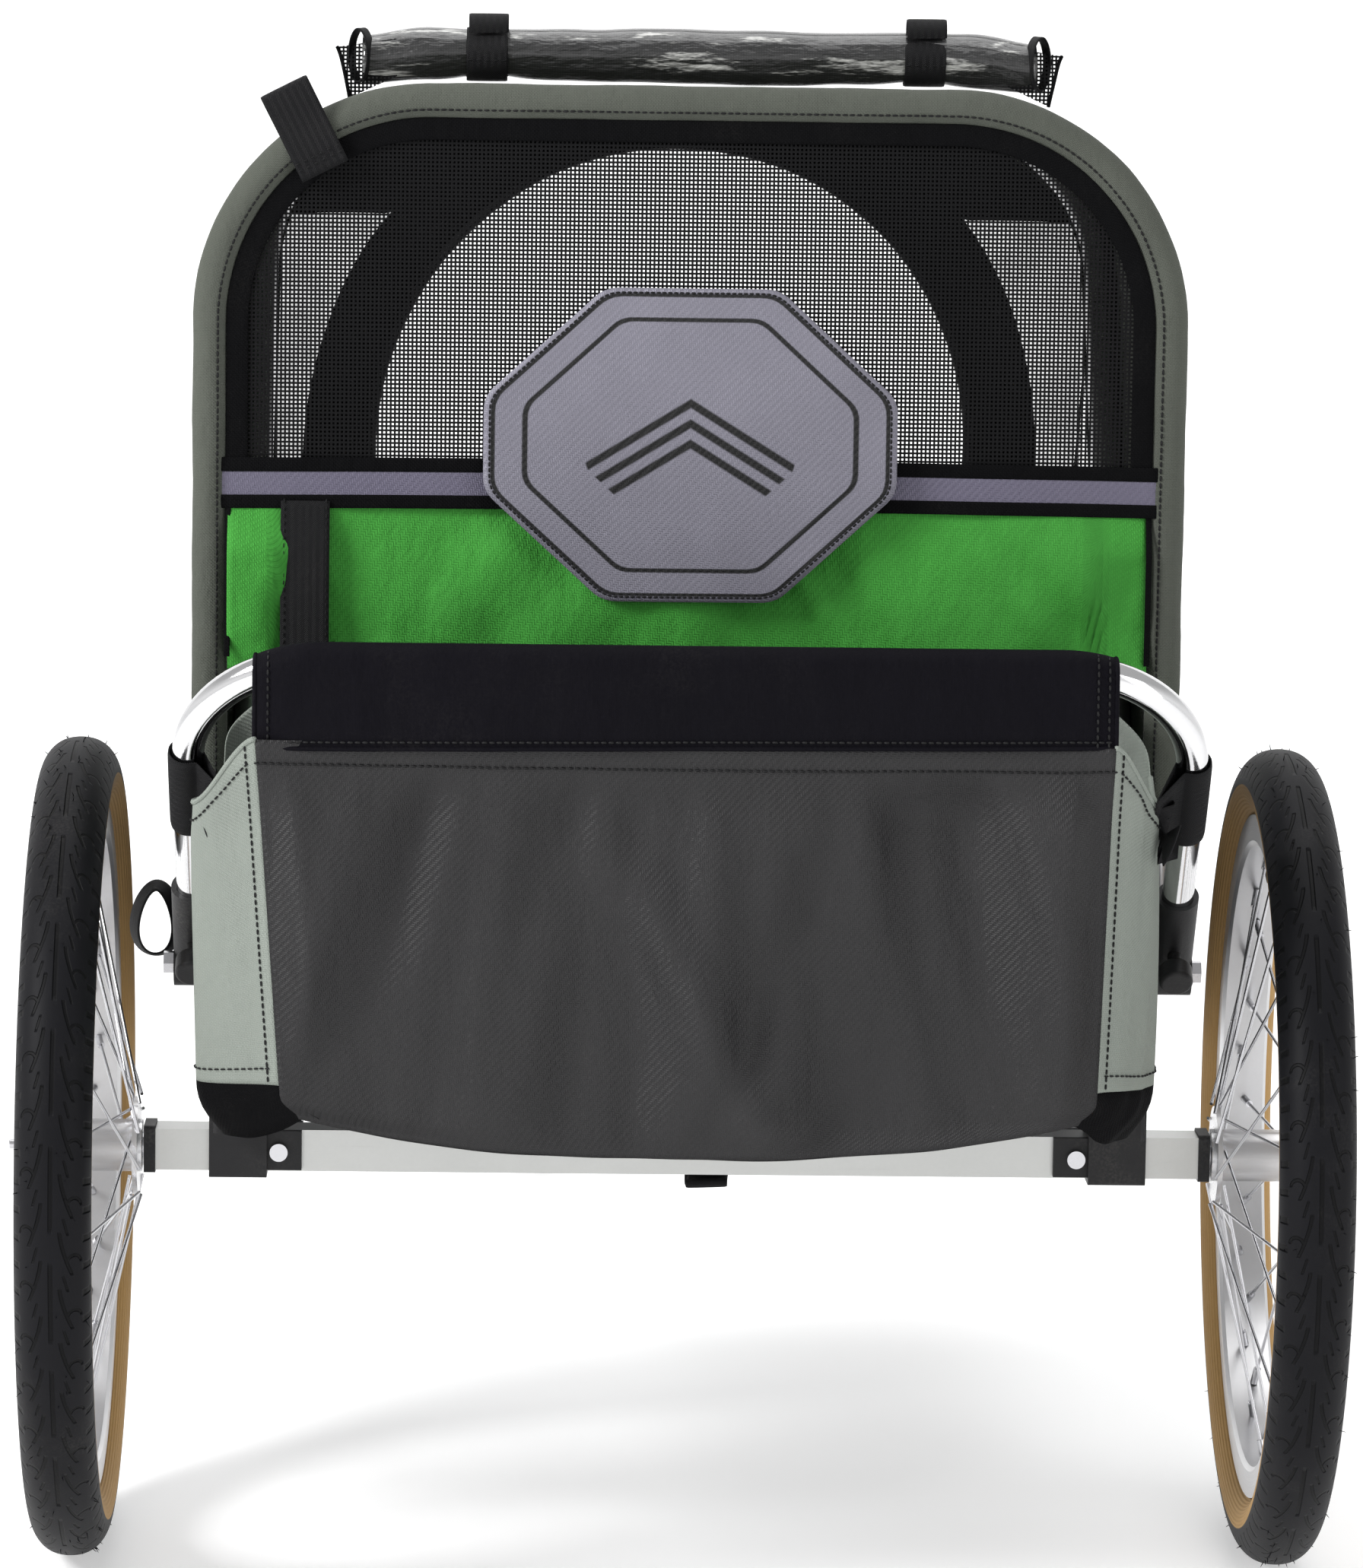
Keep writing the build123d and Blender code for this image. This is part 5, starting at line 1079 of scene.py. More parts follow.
def trunk_bag(looks):
    """The bag's cloths: rear panel, two side walls with turned-over upper edges, black lower corners,
    inner back with its gathered elastic, and bottom."""
    u, v = np.linspace(-1, 1, 161)[:, None], np.linspace(0, 1, 81)[None]
    left, right = bag_seam(-1, v), bag_seam(1, v)
    share = (u[..., None] + 1) / 2
    points = (1 - share) * left + share * right
    points[..., 2] += -0.0015 * (1 - u ** 2) * (1 - v) - 0.0215 * (1 - np.abs(u) ** 2.6) * v ** 2.5
    x, z = points[..., 0], points[..., 2]
    hold = smooth(1 - np.abs(u), 0.0, 0.10) * smooth(v, 0.03, 0.22) * (1 - 0.75 * smooth(v, 0.90, 1.0))
    broad = np.sin(x * 26 + 1.1 + 5 * (0.53 - z)) + 0.8 * np.sin(x * 41 - 9 * (z - 0.3) + 0.4)
    fan = ripples(x * (1.25 - v * 0.35), (z - 0.53) * 0.55, 71, 0.22, 0.035, 9, (-0.5, 0.5))
    sweep = (np.exp(-((x + 0.055 - 0.5 * (0.50 - z)) / 0.020) ** 2)
             - np.exp(-((x - 0.085 + 0.35 * (0.50 - z)) / 0.018) ** 2))
    points[..., 1] -= hold * (0.0060 * np.sin(np.pi * v) + 0.0036 * broad + 0.0105 * fan
                              + 0.0090 * sweep * smooth(v, 0.1, 0.5))
    hem = points[:, 5] + [0, -0.0006, 0]
    bag_piece("bag_rear_panel", [grid(points, inside=(0, 0, 0.42)), stitches(hem, (0, -1, 0), 1)],
              [looks["charcoal"], looks["thread"]])
    edge_low = points[:, -1].copy()

    for name, side in SIDES.items():
        w, v = np.linspace(0, 1, 101)[:, None], np.linspace(0, 1, 70)[None]
        wall = bag_wall(side, w, v)
        cut = 63
        upper, lower = wall[:, :cut + 1], wall[:, cut:].copy()
        lower[..., 2] -= np.linspace(0, 1, lower.shape[1])[None] * 0.016 * smooth(w, 0.02, 0.2)
        lower[..., 0] -= side * np.linspace(0, 1, lower.shape[1])[None] ** 2 * 0.012
        out = np.array([side, -0.35, 0])
        lift = np.array([side * 0.0007, -0.0003, 0])
        seam_rows = [wall[3, 1:cut] + lift, wall[3:60, 4] + lift, wall[3:60, cut - 3] + lift]
        parts = [grid(upper, inside=(0, -0.12, 0.42))]
        parts += [stitches(p, out, 1) for p in seam_rows]
        parts.append(tube(wall[:62, 0] + [0, 0, 0.0002], 0.0013, 8, material=0))
        bag_piece(f"bag_side_{name}", parts, [looks["gusset"], looks["thread"]])
        bag_piece(f"bag_corner_{name}", [grid(lower, inside=(0, -0.12, 0.36))], [looks["black"]])

    x = np.linspace(-0.2405, 0.2405, 120)[:, None]
    z = np.linspace(0.300, 0.543, 40)[None]
    y = -0.0650 - 0.0012 * (1 + ripples(x, z, 81, 0.2, 0.04)) * np.sin(np.pi * (z - 0.3) / 0.243)
    back = np.stack([x + 0 * z, y, z + 0 * x], -1)
    bag_piece("bag_inner_back", [grid(back, inside=(0, 1, 0.4))], [looks["gusset"]])
    x = np.linspace(-0.2400, 0.2400, 700)
    pleat = np.stack([x, -0.0668 - 0.0012 * np.sin(x * 2 * np.pi / 0.0068), 0.5395 + 0.0006 * np.sin(x * 300)], 1)
    bag_piece("bag_elastic", [ribbon(pleat, (0, 0, 1), 0.016, 0.0009)], [looks["webbing"]])

    t = np.linspace(0, 1, 50)[None]
    u = np.linspace(-1, 1, 161)[:, None]
    y = edge_low[:, 1][:, None] * (1 - t) - 0.0650 * t
    y_rows = np.array([-0.2395, -0.1500, -0.1050, -0.0965, -0.0650])
    half = np.interp(y, y_rows, [0.2245, 0.2600, 0.2600, 0.2400, 0.2400])
    x = edge_low[:, 0][:, None] * (1 - smooth(t, 0, 0.3)) + u * half * smooth(t, 0, 0.3)
    z = edge_low[:, 2][:, None] * (1 - smooth(t, 0, 0.5)) + (0.2990 - 0.0040 * (1 - u ** 2)) * smooth(t, 0, 0.5)
    base = np.stack([x, y, z + 0.0008 * ripples(x, y, 85, 0.2, 0.05)], -1)
    bag_piece("bag_bottom", [grid(base, inside=(0, -0.15, 0.45))], [looks["charcoal"]])


def bar_middle(x):
    """Middle of the push bar's crossbar at x, which drops by bend - sqrt(bend^2 - over^2) where x is
    past the straight part."""
    over = np.clip(np.abs(x) - (BAR.half - BAR.bend), 0, BAR.bend * 0.95)
    drop = BAR.bend - np.sqrt(BAR.bend ** 2 - over ** 2)
    start = BAR.hinge + BAR.up * BAR.height
    return np.stack([x, start[1] - drop * BAR.up[1], start[2] - drop * BAR.up[2]], -1)


def bag_flap(looks):
    """Flap over the crossbar: from under its front it follows (sin b, cos b) round the tube from 150
    to -90 degrees, then hangs to the hem."""
    x = np.concatenate([[-0.2505], np.linspace(-0.2495, 0.2405, 150), [0.2415]])
    middle, radius = bar_middle(x), TUBE + 0.0017
    b = np.radians(np.linspace(150, -90, 30))
    ring = middle[:, None] + radius * np.stack([0 * b, np.sin(b), np.cos(b)], -1)[None]
    t = np.linspace(0, 1, 26)[1:][None]
    start = ring[:, -1]
    hem = 0.5310 + 0.0028 * x[:, None] / 0.25
    z = start[:, 2:3] * (1 - t) + hem * t
    sway = ripples(x[:, None], z * 0.6, 91, 0.25, 0.04, 8, (-0.5, 0.5))
    y = start[:, 1:2] - 0.0016 * t + 0.0011 * sway * smooth(t, 0.05, 0.4)
    hang = np.stack([x[:, None] + 0 * t, y, z], -1)
    points = np.concatenate([ring, hang], 1)
    edge = [stitches(points[k, 6:-1] + [0, -0.0008, 0], (0, -1, 0), 1) for k in (-5, -3, 3)]
    low = [stitches(points[2:-2, -k] + [0, -0.0008, 0], (0, -1, 0), 1) for k in (3,)]
    rim = tube(np.concatenate([points[-1, 4:], points[::-1, -1][1:-1], points[0, 4:][::-1]]), 0.0011, 8)
    obj = build("push_bar_flap", [grid(points, inside=(0, -0.235, 0.50)), rim] + edge + low,
                [looks["flap"], looks["thread"]])
    thicken(obj, 0.0008)
    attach(obj, "push_bar")
    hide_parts("bag_flap")


def bag_loops(looks):
    """Wide webbing slung over each bend of the push bar: a teardrop round the tube, drawn in towards
    the bag, and a strap from it to the bag's shoulder."""
    parts = []
    for side in SIDES.values():
        a = np.radians(np.linspace(-118, 118, 26))
        centre = BAR.hinge + np.array([side * BAR.half, 0, 0]) + BAR.up * 0.150
        out, ahead = np.array([side, 0, 0]), BAR.forward
        r = TUBE + 0.0014
        arc = centre + r * (np.cos(a)[:, None] * out + np.sin(a)[:, None] * ahead)
        tip = centre - out * 0.0230 - ahead * 0.034
        loop = along(rounded(np.concatenate([[tip], arc, [tip]]), 0.004, 4), 70)[:-1]
        parts.append(ribbon(loop, BAR.up, 0.0600, 0.0017, closed=True))
        low = np.array([side * 0.2745, -0.196, 0.484])
        mid = (tip + low) / 2 + [side * 0.004, -0.004, -0.002]
        hang = along(rounded([tip + out * 0.006, mid, low + [0, 0, -0.006]], 0.018, 8), 30)
        parts.append(ribbon(hang, (0, 0.62, 0.45), 0.0400, 0.0016))
        row = low + np.stack([np.full(6, side * 0.0016), np.linspace(-0.012, 0.012, 6), np.full(6, 0.004)], 1)
        parts.append(stitches(row, out, 1))
    obj = build("bag_loop_webbing", parts, [looks["webbing"], looks["thread"]])
    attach(obj, "push_bar")
    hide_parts("bag_loops")


def frame_webbing(looks):
    """Webbing on the frame: a ring beside the left canopy hinge, x = x0 + a cos t with a narrower
    inner end, and a doubled strap end that hangs from the floor and bellies out under the beam."""
    t = np.linspace(0, 2 * np.pi, 49)[:-1]
    x = -0.3155 + 0.0125 * np.cos(t) * (1 - 0.2 * np.sin(t))
    ring = np.stack([x, HINGE[1] + 0.0025 * np.sin(t + 0.6), 0.3990 + 0.0205 * np.sin(t)], 1)
    twist = np.stack([0.35 * np.cos(t), np.ones(48), 0.2 * np.sin(t)], 1)
    parts = [ribbon(ring, twist, 0.0190, 0.0017, closed=True)]
    c = [[0.0185, 0.0145, 0.2785], [0.0185, 0.0145, 0.243], [0.017, 0.0060, 0.2300], [0.018, -0.0120, 0.2295],
         [0.018, -0.0120, 0.2335], [0.019, 0.0040, 0.2350], [0.020, 0.0172, 0.245], [0.020, 0.0172, 0.2785]]
    parts.append(ribbon(along(rounded(c, 0.006, 6), 70), (1, 0.02, 0.05), 0.0250, 0.0015))
    obj = build("frame_webbing", parts, [looks["webbing"]])
    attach(obj, "frame")
    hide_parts("webbing_loops")


# ---------------------------------------------------------------- pieces: cabin
def tub_walls(looks):
    """Low cloth wall in one strip round both sides and the front, its plan rounded at the front
    corners, puffed outwards between its edges, with piping along its upper edge."""
    x0, front = 0.2790, 0.6730
    plan = along(rounded([[-x0, -0.048, 0], [-x0, front, 0], [x0, front, 0], [x0, -0.048, 0]], 0.074, 20), 241)
    normal = unit(np.cross(np.gradient(plan, axis=0), [0, 0, 1.0]))
    normal *= np.sign((normal * (plan - [0, 0.3, 0])).sum(1).mean())
    v = np.linspace(0, 1, 22)[None]
    low = 0.3078 - 0.0250 * smooth(plan[:, 1:2], 0.600, 0.660)
    z = low + (0.4035 - low) * v
    s = np.linspace(0, 2.0, 241)[:, None]
    clear = smooth(plan[:, 1:2], 0.0, 0.08)
    puff = clear * np.sin(np.pi * v) * (0.0022 + 0.0016 * ripples(s, z * 0.5, 101, 0.25, 0.035, 9, (-0.6, 0.6)))
    points = plan[:, None] + normal[:, None] * puff[..., None]
    points[..., 2] = z
    lift = normal * 0.0006
    parts = [grid(points[:, 4:], inside=(0, 0.3, 0.35)), grid(points[:, :5], inside=(0, 0.3, 0.35), material=1),
             tube(points[:, -1], 0.0024, 8, material=1)]
    parts += [stitches(points[:, k] + lift, normal, 2) for k in (5, -3)]
    obj = build("tub_wall_cloth", parts, [looks["charcoal"], looks["black"], looks["thread"]])
    thicken(obj, 0.0006)
    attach(obj, "frame")
    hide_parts("tub_walls")
    x, z = np.linspace(-0.2580, 0.2580, 60)[:, None], np.linspace(0.3068, 0.3950, 14)[None]
    wall = np.stack([x + 0 * z, -0.0616 + 0.0003 * ripples(x, z, 103, 0.2, 0.05), z + 0 * x], -1)
    rear = build("tub_rear_cloth", [grid(wall, inside=(0, 1, 0.35))], [looks["black"]])
    thicken(rear, 0.0006)
    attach(rear, "frame")
    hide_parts("tub_walls")


def evaluated_copy(obj):
    """The mesh that an object's modifiers make now."""
    bpy.context.view_layer.update()
    return bpy.data.meshes.new_from_object(obj.evaluated_get(bpy.context.evaluated_depsgraph_get()))


def mesh_points(mesh):
    """A mesh's points as an array."""
    co = np.empty(len(mesh.vertices) * 3)
    mesh.vertices.foreach_get("co", co)
    return co.reshape(-1, 3)


def pad(name, source, body, look, soft_axis, channels, sizes):
    """Padded piece: the frame solid, shrunk, remeshed, blown up as cloth with each point's travel
    capped, held inside the solid's box, subdivided once, and drawn in along its sewn channels by
    depth exp(-(d / width)^2) on its soft side."""
    low, high = (np.array(c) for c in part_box(source))
    middle = (low + high) / 2
    mesh = NODES[source].data.copy()
    obj = bpy.data.objects.new(name, mesh)
    bpy.context.scene.collection.objects.link(obj)
    co = middle + (mesh_points(mesh) - middle) * (1 - 2 * sizes.pad_start / (high - low))
    mesh.vertices.foreach_set("co", co.ravel())
    work = bmesh.new()
    work.from_mesh(mesh)
    bmesh.ops.remove_doubles(work, verts=work.verts, dist=1e-5)
    work.to_mesh(mesh)
    work.free()
    remesh = obj.modifiers.new("Voxels", "REMESH")
    remesh.mode, remesh.voxel_size, remesh.use_smooth_shade = "VOXEL", 0.0055, True
    obj.data = evaluated_copy(obj)
    obj.modifiers.clear()
    start = mesh_points(obj.data)
    cloth_on = obj.modifiers.new("Cloth", "CLOTH")
    cloth_on.settings.use_pressure = True
    cloth_on.settings.uniform_pressure_force = 4.0
    cloth_on.settings.effector_weights.gravity = 0.0
    scene = bpy.context.scene
    for step in range(1, 21):
        scene.frame_set(step)
    moved = mesh_points(evaluated_copy(obj))
    obj.modifiers.clear()
    scene.frame_set(1)
    travel = moved - start
    length = np.linalg.norm(travel, axis=1, keepdims=True)
    co = start + travel * np.minimum(1, sizes.pad_swell / np.maximum(length, 1e-9))
    co = np.clip(co, low + 0.0003, high - 0.0003)
    obj.data.vertices.foreach_set("co", co.ravel())
    subdivide = obj.modifiers.new("Smooth", "SUBSURF")
    subdivide.levels = subdivide.render_levels = 1
    obj.data = evaluated_copy(obj)
    obj.modifiers.clear()
    co = mesh_points(obj.data)
    facing = smooth((co[:, soft_axis] - low[soft_axis]) / (high - low)[soft_axis], 0.35, 0.7)
    far = np.full(len(co), 1.0)
    for axis, value in channels:
        far = np.minimum(far, np.abs(co[:, axis] - value))
    co[:, soft_axis] -= facing * (0.0042 * np.exp(-(far / 0.0045) ** 2) + 0.0010 * (1 + ripples(
        co[:, 0], co[:, 1] + co[:, 2], 107, 0.12, 0.02)))
    obj.data.vertices.foreach_set("co", co.ravel())
    obj.data.materials.clear()
    obj.data.materials.append(look)
    obj.data.shade_smooth()
    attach(obj, body)
    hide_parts(source)


def harness(looks):
    """Harness webbing: straps laid up the seat back with a slow wave, and lap straps to the buckles."""
    low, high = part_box("shoulder_straps")
    z = np.linspace(low.z, high.z, 40)
    parts, top = [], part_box("lap_straps")[1].z - 0.0010
    for seat in (-0.120, 0.120):
        for side in (-1, 1):
            x = seat + side * (0.035 - 0.004 * np.sin((z - low.z) * 9))
            y = (low.y + high.y) / 2 + 0.0016 * (1 - np.cos((z - low.z) * 34 + seat * 9)) / 2
            parts.append(ribbon(np.stack([x, y, z], 1), (1, 0, 0), 0.0245, 0.0016))
            t = np.linspace(0, 1, 14)
            far = np.stack([seat + side * (0.0185 + 0.0760 * t), 0.170 + 0.004 * np.sin(t * 3),
                            top + 0.0006 * np.sin(t * 6)], 1)
            parts.append(ribbon(far, (0, 1, 0), 0.0240, 0.0016))
        y = np.linspace(0.041, 0.1475, 16)
        path = np.stack([np.full(16, seat), y, top + 0.0004 * np.sin(y * 80)], 1)
        parts.append(ribbon(path, (1, 0, 0), 0.0240, 0.0016))
    split = len(parts)
    upper = [p for k, p in enumerate(parts) if k % 5 in (0, 2)]
    lower = [p for k, p in enumerate(parts) if k % 5 in (1, 3, 4)]
    for name, chosen, body, source in (("harness_shoulder_webbing", upper, "rear_hoop", "shoulder_straps"),
                                       ("harness_lap_webbing", lower, "frame", "lap_straps")):
        obj = build(name, chosen, [looks["webbing"]])
        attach(obj, body)
        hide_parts(source)
    return split


def finish_nodes(looks, names):
    """Give CAD pieces their metal, plastic or rubber."""
    for name, look in names.items():
        mesh = NODES[name].data
        mesh.materials.clear()
        mesh.materials.append(looks[look])
        mesh.polygons.foreach_set("material_index", np.zeros(len(mesh.polygons), int))


# ---------------------------------------------------------------- sizes and colours
class TrailerSizes(bpy.types.PropertyGroup):
    """Sizes of the cloth and rubber pieces."""

    wheel_diameter: FloatProperty(name="Wheel diameter", description="Outer diameter of the tyres",
                                  default=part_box("tyre_left")[1].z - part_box("tyre_left")[0].z, unit="LENGTH")
    tyre_width: FloatProperty(name="Tyre width", description="Width of the tyre's section",
                              default=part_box("tyre_left")[1].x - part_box("tyre_left")[0].x, unit="LENGTH")
    sleeve_gap: FloatProperty(name="Sleeve gap", description="Cloth's distance from the bows' tubes",
                              default=0.0012, unit="LENGTH")
    roof_sag: FloatProperty(name="Roof sag", description="Sag of the roof between the bows",
                            default=0.0060, unit="LENGTH")
    strip_top: FloatProperty(name="Strip top", description="Height of the reflective strip's upper edge",
                             default=0.672, unit="LENGTH")
    strip_height: FloatProperty(name="Strip height", description="Height of the reflective strip",
                                default=0.015, unit="LENGTH")
    badge_width: FloatProperty(name="Badge width", description="Width of the plain reflective badge",
                               default=0.245, unit="LENGTH")
    badge_height: FloatProperty(name="Badge height", description="Height of the plain reflective badge",
                                default=0.186, unit="LENGTH")
    badge_z: FloatProperty(name="Badge height above ground", description="Height of the badge's middle",
                           default=0.689, unit="LENGTH")
    door_half: FloatProperty(name="Doorway half width", description="Half width of the front doorway",
                             default=0.200, unit="LENGTH")
    door_sill: FloatProperty(name="Doorway sill", description="Sill's distance up the front panel",
                             default=0.084, unit="LENGTH")
    door_spring: FloatProperty(name="Doorway spring", description="Where the doorway's ellipse starts up the panel",
                               default=0.289, unit="LENGTH")
    door_band: FloatProperty(name="Doorway band", description="Width of the black band round the doorway",
                             default=0.048, unit="LENGTH")
    pane_top: FloatProperty(name="Pane top", description="Where the front panes end up the panel",
                            default=0.505, unit="LENGTH")
    door_crown: FloatProperty(name="Doorway crown", description="Crown's distance below the panel's top",
                              default=0.042, unit="LENGTH")
    roll_straps: FloatVectorProperty(name="Roll straps", description="Places of the two straps round the rolled cover",
                                               size=2, default=(-0.124, 0.154), unit="LENGTH")
    roll_strap_width: FloatProperty(name="Roll strap width", description="Width of the cover's straps",
                                    default=0.026, unit="LENGTH")
    pad_start: FloatProperty(name="Pad margin", description="How much smaller a pad starts than its space",
                             default=0.0030, unit="LENGTH")
    pad_swell: FloatProperty(name="Pad swell", description="The most that a pad's point may travel",
                             default=0.0080, unit="LENGTH")
    pad_channels: IntProperty(name="Pad channels", description="Sewn channels across each pad", default=3, min=0, max=6)


def colour(name, description, default):
    """A colour property."""
    return FloatVectorProperty(name=name, description=description, default=default, subtype="COLOR",
                               size=3, min=0.0, max=1.0)


class TrailerColours(bpy.types.PropertyGroup):
    """Colours of the trailer's materials."""

    rubber: colour("Tyre rubber", "Black tread rubber", (0.0045, 0.0045, 0.0058))
    gum: colour("Gum wall", "Tan side walls of the tyres", (0.36, 0.22, 0.085))
    roof: colour("Roof", "Grey-green roof and sleeve cloth", (0.090, 0.097, 0.082))
    green: colour("Green cloth", "Green panel cloth", (0.050, 0.275, 0.040))
    charcoal: colour("Charcoal cloth", "Trunk bag's rear panel", (0.0185, 0.0180, 0.0190))
    gusset: colour("Gusset cloth", "Pale grey-green side walls of the bag", (0.265, 0.292, 0.262))
    black: colour("Black cloth", "Bindings and panels", (0.0035, 0.0035, 0.0040))
    flap: colour("Flap cloth", "Smooth black flap", (0.0042, 0.0038, 0.0058))
    webbing: colour("Webbing", "Black webbing", (0.007, 0.007, 0.008))
    net: colour("Net", "Window net", (0.005, 0.005, 0.0055))
    strip: colour("Reflective strip", "Violet-grey reflective strip", (0.120, 0.110, 0.160))
    badge: colour("Badge", "Grey-violet reflective badge", (0.190, 0.184, 0.225))
    alloy: colour("Alloy", "Aluminium parts", (0.60, 0.60, 0.61))
    steel: colour("Steel", "Spokes, pins and bolts", (0.52, 0.52, 0.54))
    plastic: colour("Black plastic", "Brackets, knobs and plugs", (0.009, 0.009, 0.010))
    padding: colour("Padding", "Seat cloth", (0.075, 0.080, 0.085))
    floor: colour("Studio floor", "Pale studio floor", (0.80, 0.80, 0.80))


NODE_LOOKS = {
    **{f"{n}_{s}": look for s in SIDES for n, look in (
        ("rim", "rim"), ("hub_shell", "hub"), ("spokes", "steel"), ("wheel_bearings", "steel"),
        ("inner_tube", "rubber"),
        ("axle_pin", "steel"), ("button_spring", "steel"), ("release_button", "steel"), ("lock_knob", "plastic"))},
    "axle_beam": "beam", "axle_end_caps": "plastic", "axle_bushes": "plastic", "frame_brackets": "plastic",
    "frame_bolts": "steel", "side_rails": "rail", "front_tube": "alloy", "tube_plugs": "plastic",
    "floor_panel": "floor_sheet", "post_feet": "plastic", "rear_posts": "alloy", "hinge_blocks": "plastic",
    "rear_cross_tube": "alloy", "seat_front_bar": "alloy", "harness_buckles": "plastic", "arm_receiver": "coated",
    "hoop_tube": "alloy", "bow_tube": "alloy", "bar_tube": "bright", "bar_sockets": "plastic",
    "arm_tube": "coated", "arm_fittings": "plastic", "hitch_coupler": "coated",
}


def pad_cloth(name, colour):
    """Cloth for pads, whose threads lie on the piece's X and the mean of Y and Z, since a remeshed pad
    has no UV; its colour is darkened between the threads as painted shade."""
    made, tree, shader = start_material(name)
    place = coordinates(tree, "Object")
    weave = use(tree, "weave", Vector=mapped(tree, place, rotation=(np.pi / 4, 0, 0)), Threads=800.0, Float=2.0)
    tone = use(tree, "fade", Vector=place, Colour=opaque(colour), Amount=0.3)
    # painted shade: the colour falls towards 0.45 of itself where the weave is low, between the threads
    dark = blend_colours(tree, maths(tree, "MULTIPLY", maths(tree, "SUBTRACT", 1.0, weave["Height"]), 0.4),
                         tone["Colour"], opaque([c * 0.45 for c in colour]))
    dirty = use(tree, "dust", Vector=place, Colour=dark, Amount=0.08)
    join(tree, shader, Base_Color=dirty["Colour"], Roughness=0.85, Sheen_Weight=0.15,
         Normal=bump(tree, noise(tree, place, 46.0, 4.0), 0.0012, 0.5, bump(tree, weave["Height"], 0.00022)))
    return made


LOOKS = {}


def looks(context):
    """The trailer's materials by name, made once."""
    if LOOKS:
        return LOOKS
    c = context.scene.trailer_colours
    LOOKS.update(
        tyre=tyre_material("Tyre", c.rubber, c.gum),
        roof=cloth("Roof cloth", c.roof, 1000.0, 2.0, rough=0.72),
        green=cloth("Green cloth", c.green, 720.0, 4.0, rough=0.70, fade=0.35),
        charcoal=cloth("Charcoal cloth", c.charcoal, 900.0, 4.0, rough=0.52, fade=0.35, gloss=0.28),
        gusset=cloth("Gusset cloth", c.gusset, 950.0, 2.0, rough=0.78, fade=0.12),
        black=cloth("Black cloth", c.black, 900.0, 2.0, rough=0.80, fade=0.4, gloss=0.05),
        flap=cloth("Flap cloth", c.flap, 1300.0, 2.0, depth=0.00008, rough=0.70, fade=0.4, gloss=0.05),
        pad=pad_cloth("Pad cloth", c.padding),
        webbing=webbing_material("Webbing", c.webbing),
        thread=moulded("Sewing thread", c.black, 0.6, 3000.0, 0.0),
        net=net_material("Window net", c.net),
        pane=vinyl_material("Window vinyl", (0.60, 0.62, 0.62)),
        rolled=rolled_material("Rolled cover", (0.006, 0.006, 0.0065)),
        strip=reflective_material("Reflective strip", c.strip, c.black),
        badge=reflective_material("Reflective badge", c.badge, c.black, border=(0.690, 0.702, 0.714)),
        rim=turned_metal("Machined rim", c.alloy, 0.30),
        hub=turned_metal("Turned hub", c.alloy, 0.24),
        beam=metal("Beam aluminium", (0.46, 0.465, 0.455), (0.012, 1.0, 1.0), 0.36, 1500.0),
        rail=metal("Rail aluminium", c.alloy, (1.0, 0.012, 1.0), 0.32, 1500.0),
        alloy=metal("Tube aluminium", c.alloy, (1.0, 1.0, 1.0), 0.30, 420.0),
        bright=metal("Polished tube", (0.70, 0.70, 0.71), (1.0, 1.0, 1.0), 0.10, 260.0, dust=0.03, depth=0.00002),
        steel=metal("Bright steel", c.steel, (1.0, 1.0, 1.0), 0.24, 700.0),
        coated=moulded("Black powder coat", c.plastic, 0.42, 700.0, 0.10, depth=0.00020),
        plastic=moulded("Black plastic", c.plastic, 0.48, 900.0, 0.10),
        rubber=moulded("Inner tube rubber", c.rubber, 0.66, 500.0, 0.14),
        floor_sheet=moulded("Floor sheet", (0.035, 0.036, 0.040), 0.55, 240.0, 0.22, depth=0.00035),
        stage=floor_material("Studio floor", c.floor),
    )
    return LOOKS


# ---------------------------------------------------------------- operators
def given(context):
    """Sizes and materials."""
    return context.scene.trailer_sizes, looks(context)


class TRAILER_OT_finishes(bpy.types.Operator):
    """Give the metal and plastic pieces of the frame their finishes"""

    bl_idname, bl_label = "trailer.finishes", "Metal and plastic"

    def execute(self, context):
        finish_nodes(looks(context), NODE_LOOKS)
        return {"FINISHED"}


class TRAILER_OT_tyres(bpy.types.Operator):
    """Make both tyres"""

    bl_idname, bl_label = "trailer.tyres", "Tyres"

    def execute(self, context):
        sizes, made = given(context)
        for name, side in SIDES.items():
            tyre(name, side, sizes, made["tyre"])
        return {"FINISHED"}


class TRAILER_OT_roof(bpy.types.Operator):
    """Make the canopy roof and its sleeve"""

    bl_idname, bl_label = "trailer.roof", "Canopy roof"

    def execute(self, context):
        canopy_roof(*given(context))
        return {"FINISHED"}


class TRAILER_OT_rear(bpy.types.Operator):
    """Make the rear window, the lower panel and their bindings, badge and flag tab"""

    bl_idname, bl_label = "trailer.rear", "Rear of the canopy"

    def execute(self, context):
        for make in (rear_window, lower_panel, badge):
            make(*given(context))
        flag_tab(looks(context))
        return {"FINISHED"}


class TRAILER_OT_windows(bpy.types.Operator):
    """Make the front panel and the side windows"""

    bl_idname, bl_label = "trailer.windows", "Front and side windows"

    def execute(self, context):
        front_window(*given(context))
        side_windows(looks(context))
        return {"FINISHED"}


class TRAILER_OT_cover(bpy.types.Operator):
    """Make the rolled cover and its straps"""

    bl_idname, bl_label = "trailer.cover", "Rolled cover"

    def execute(self, context):
        rolled_cover(*given(context))
        return {"FINISHED"}


class TRAILER_OT_bag(bpy.types.Operator):
    """Make the trunk bag, the flap over the push bar and the loops on it"""

    bl_idname, bl_label = "trailer.bag", "Trunk bag"

    def execute(self, context):
        for make in (trunk_bag, bag_flap, bag_loops):
            make(looks(context))
        return {"FINISHED"}


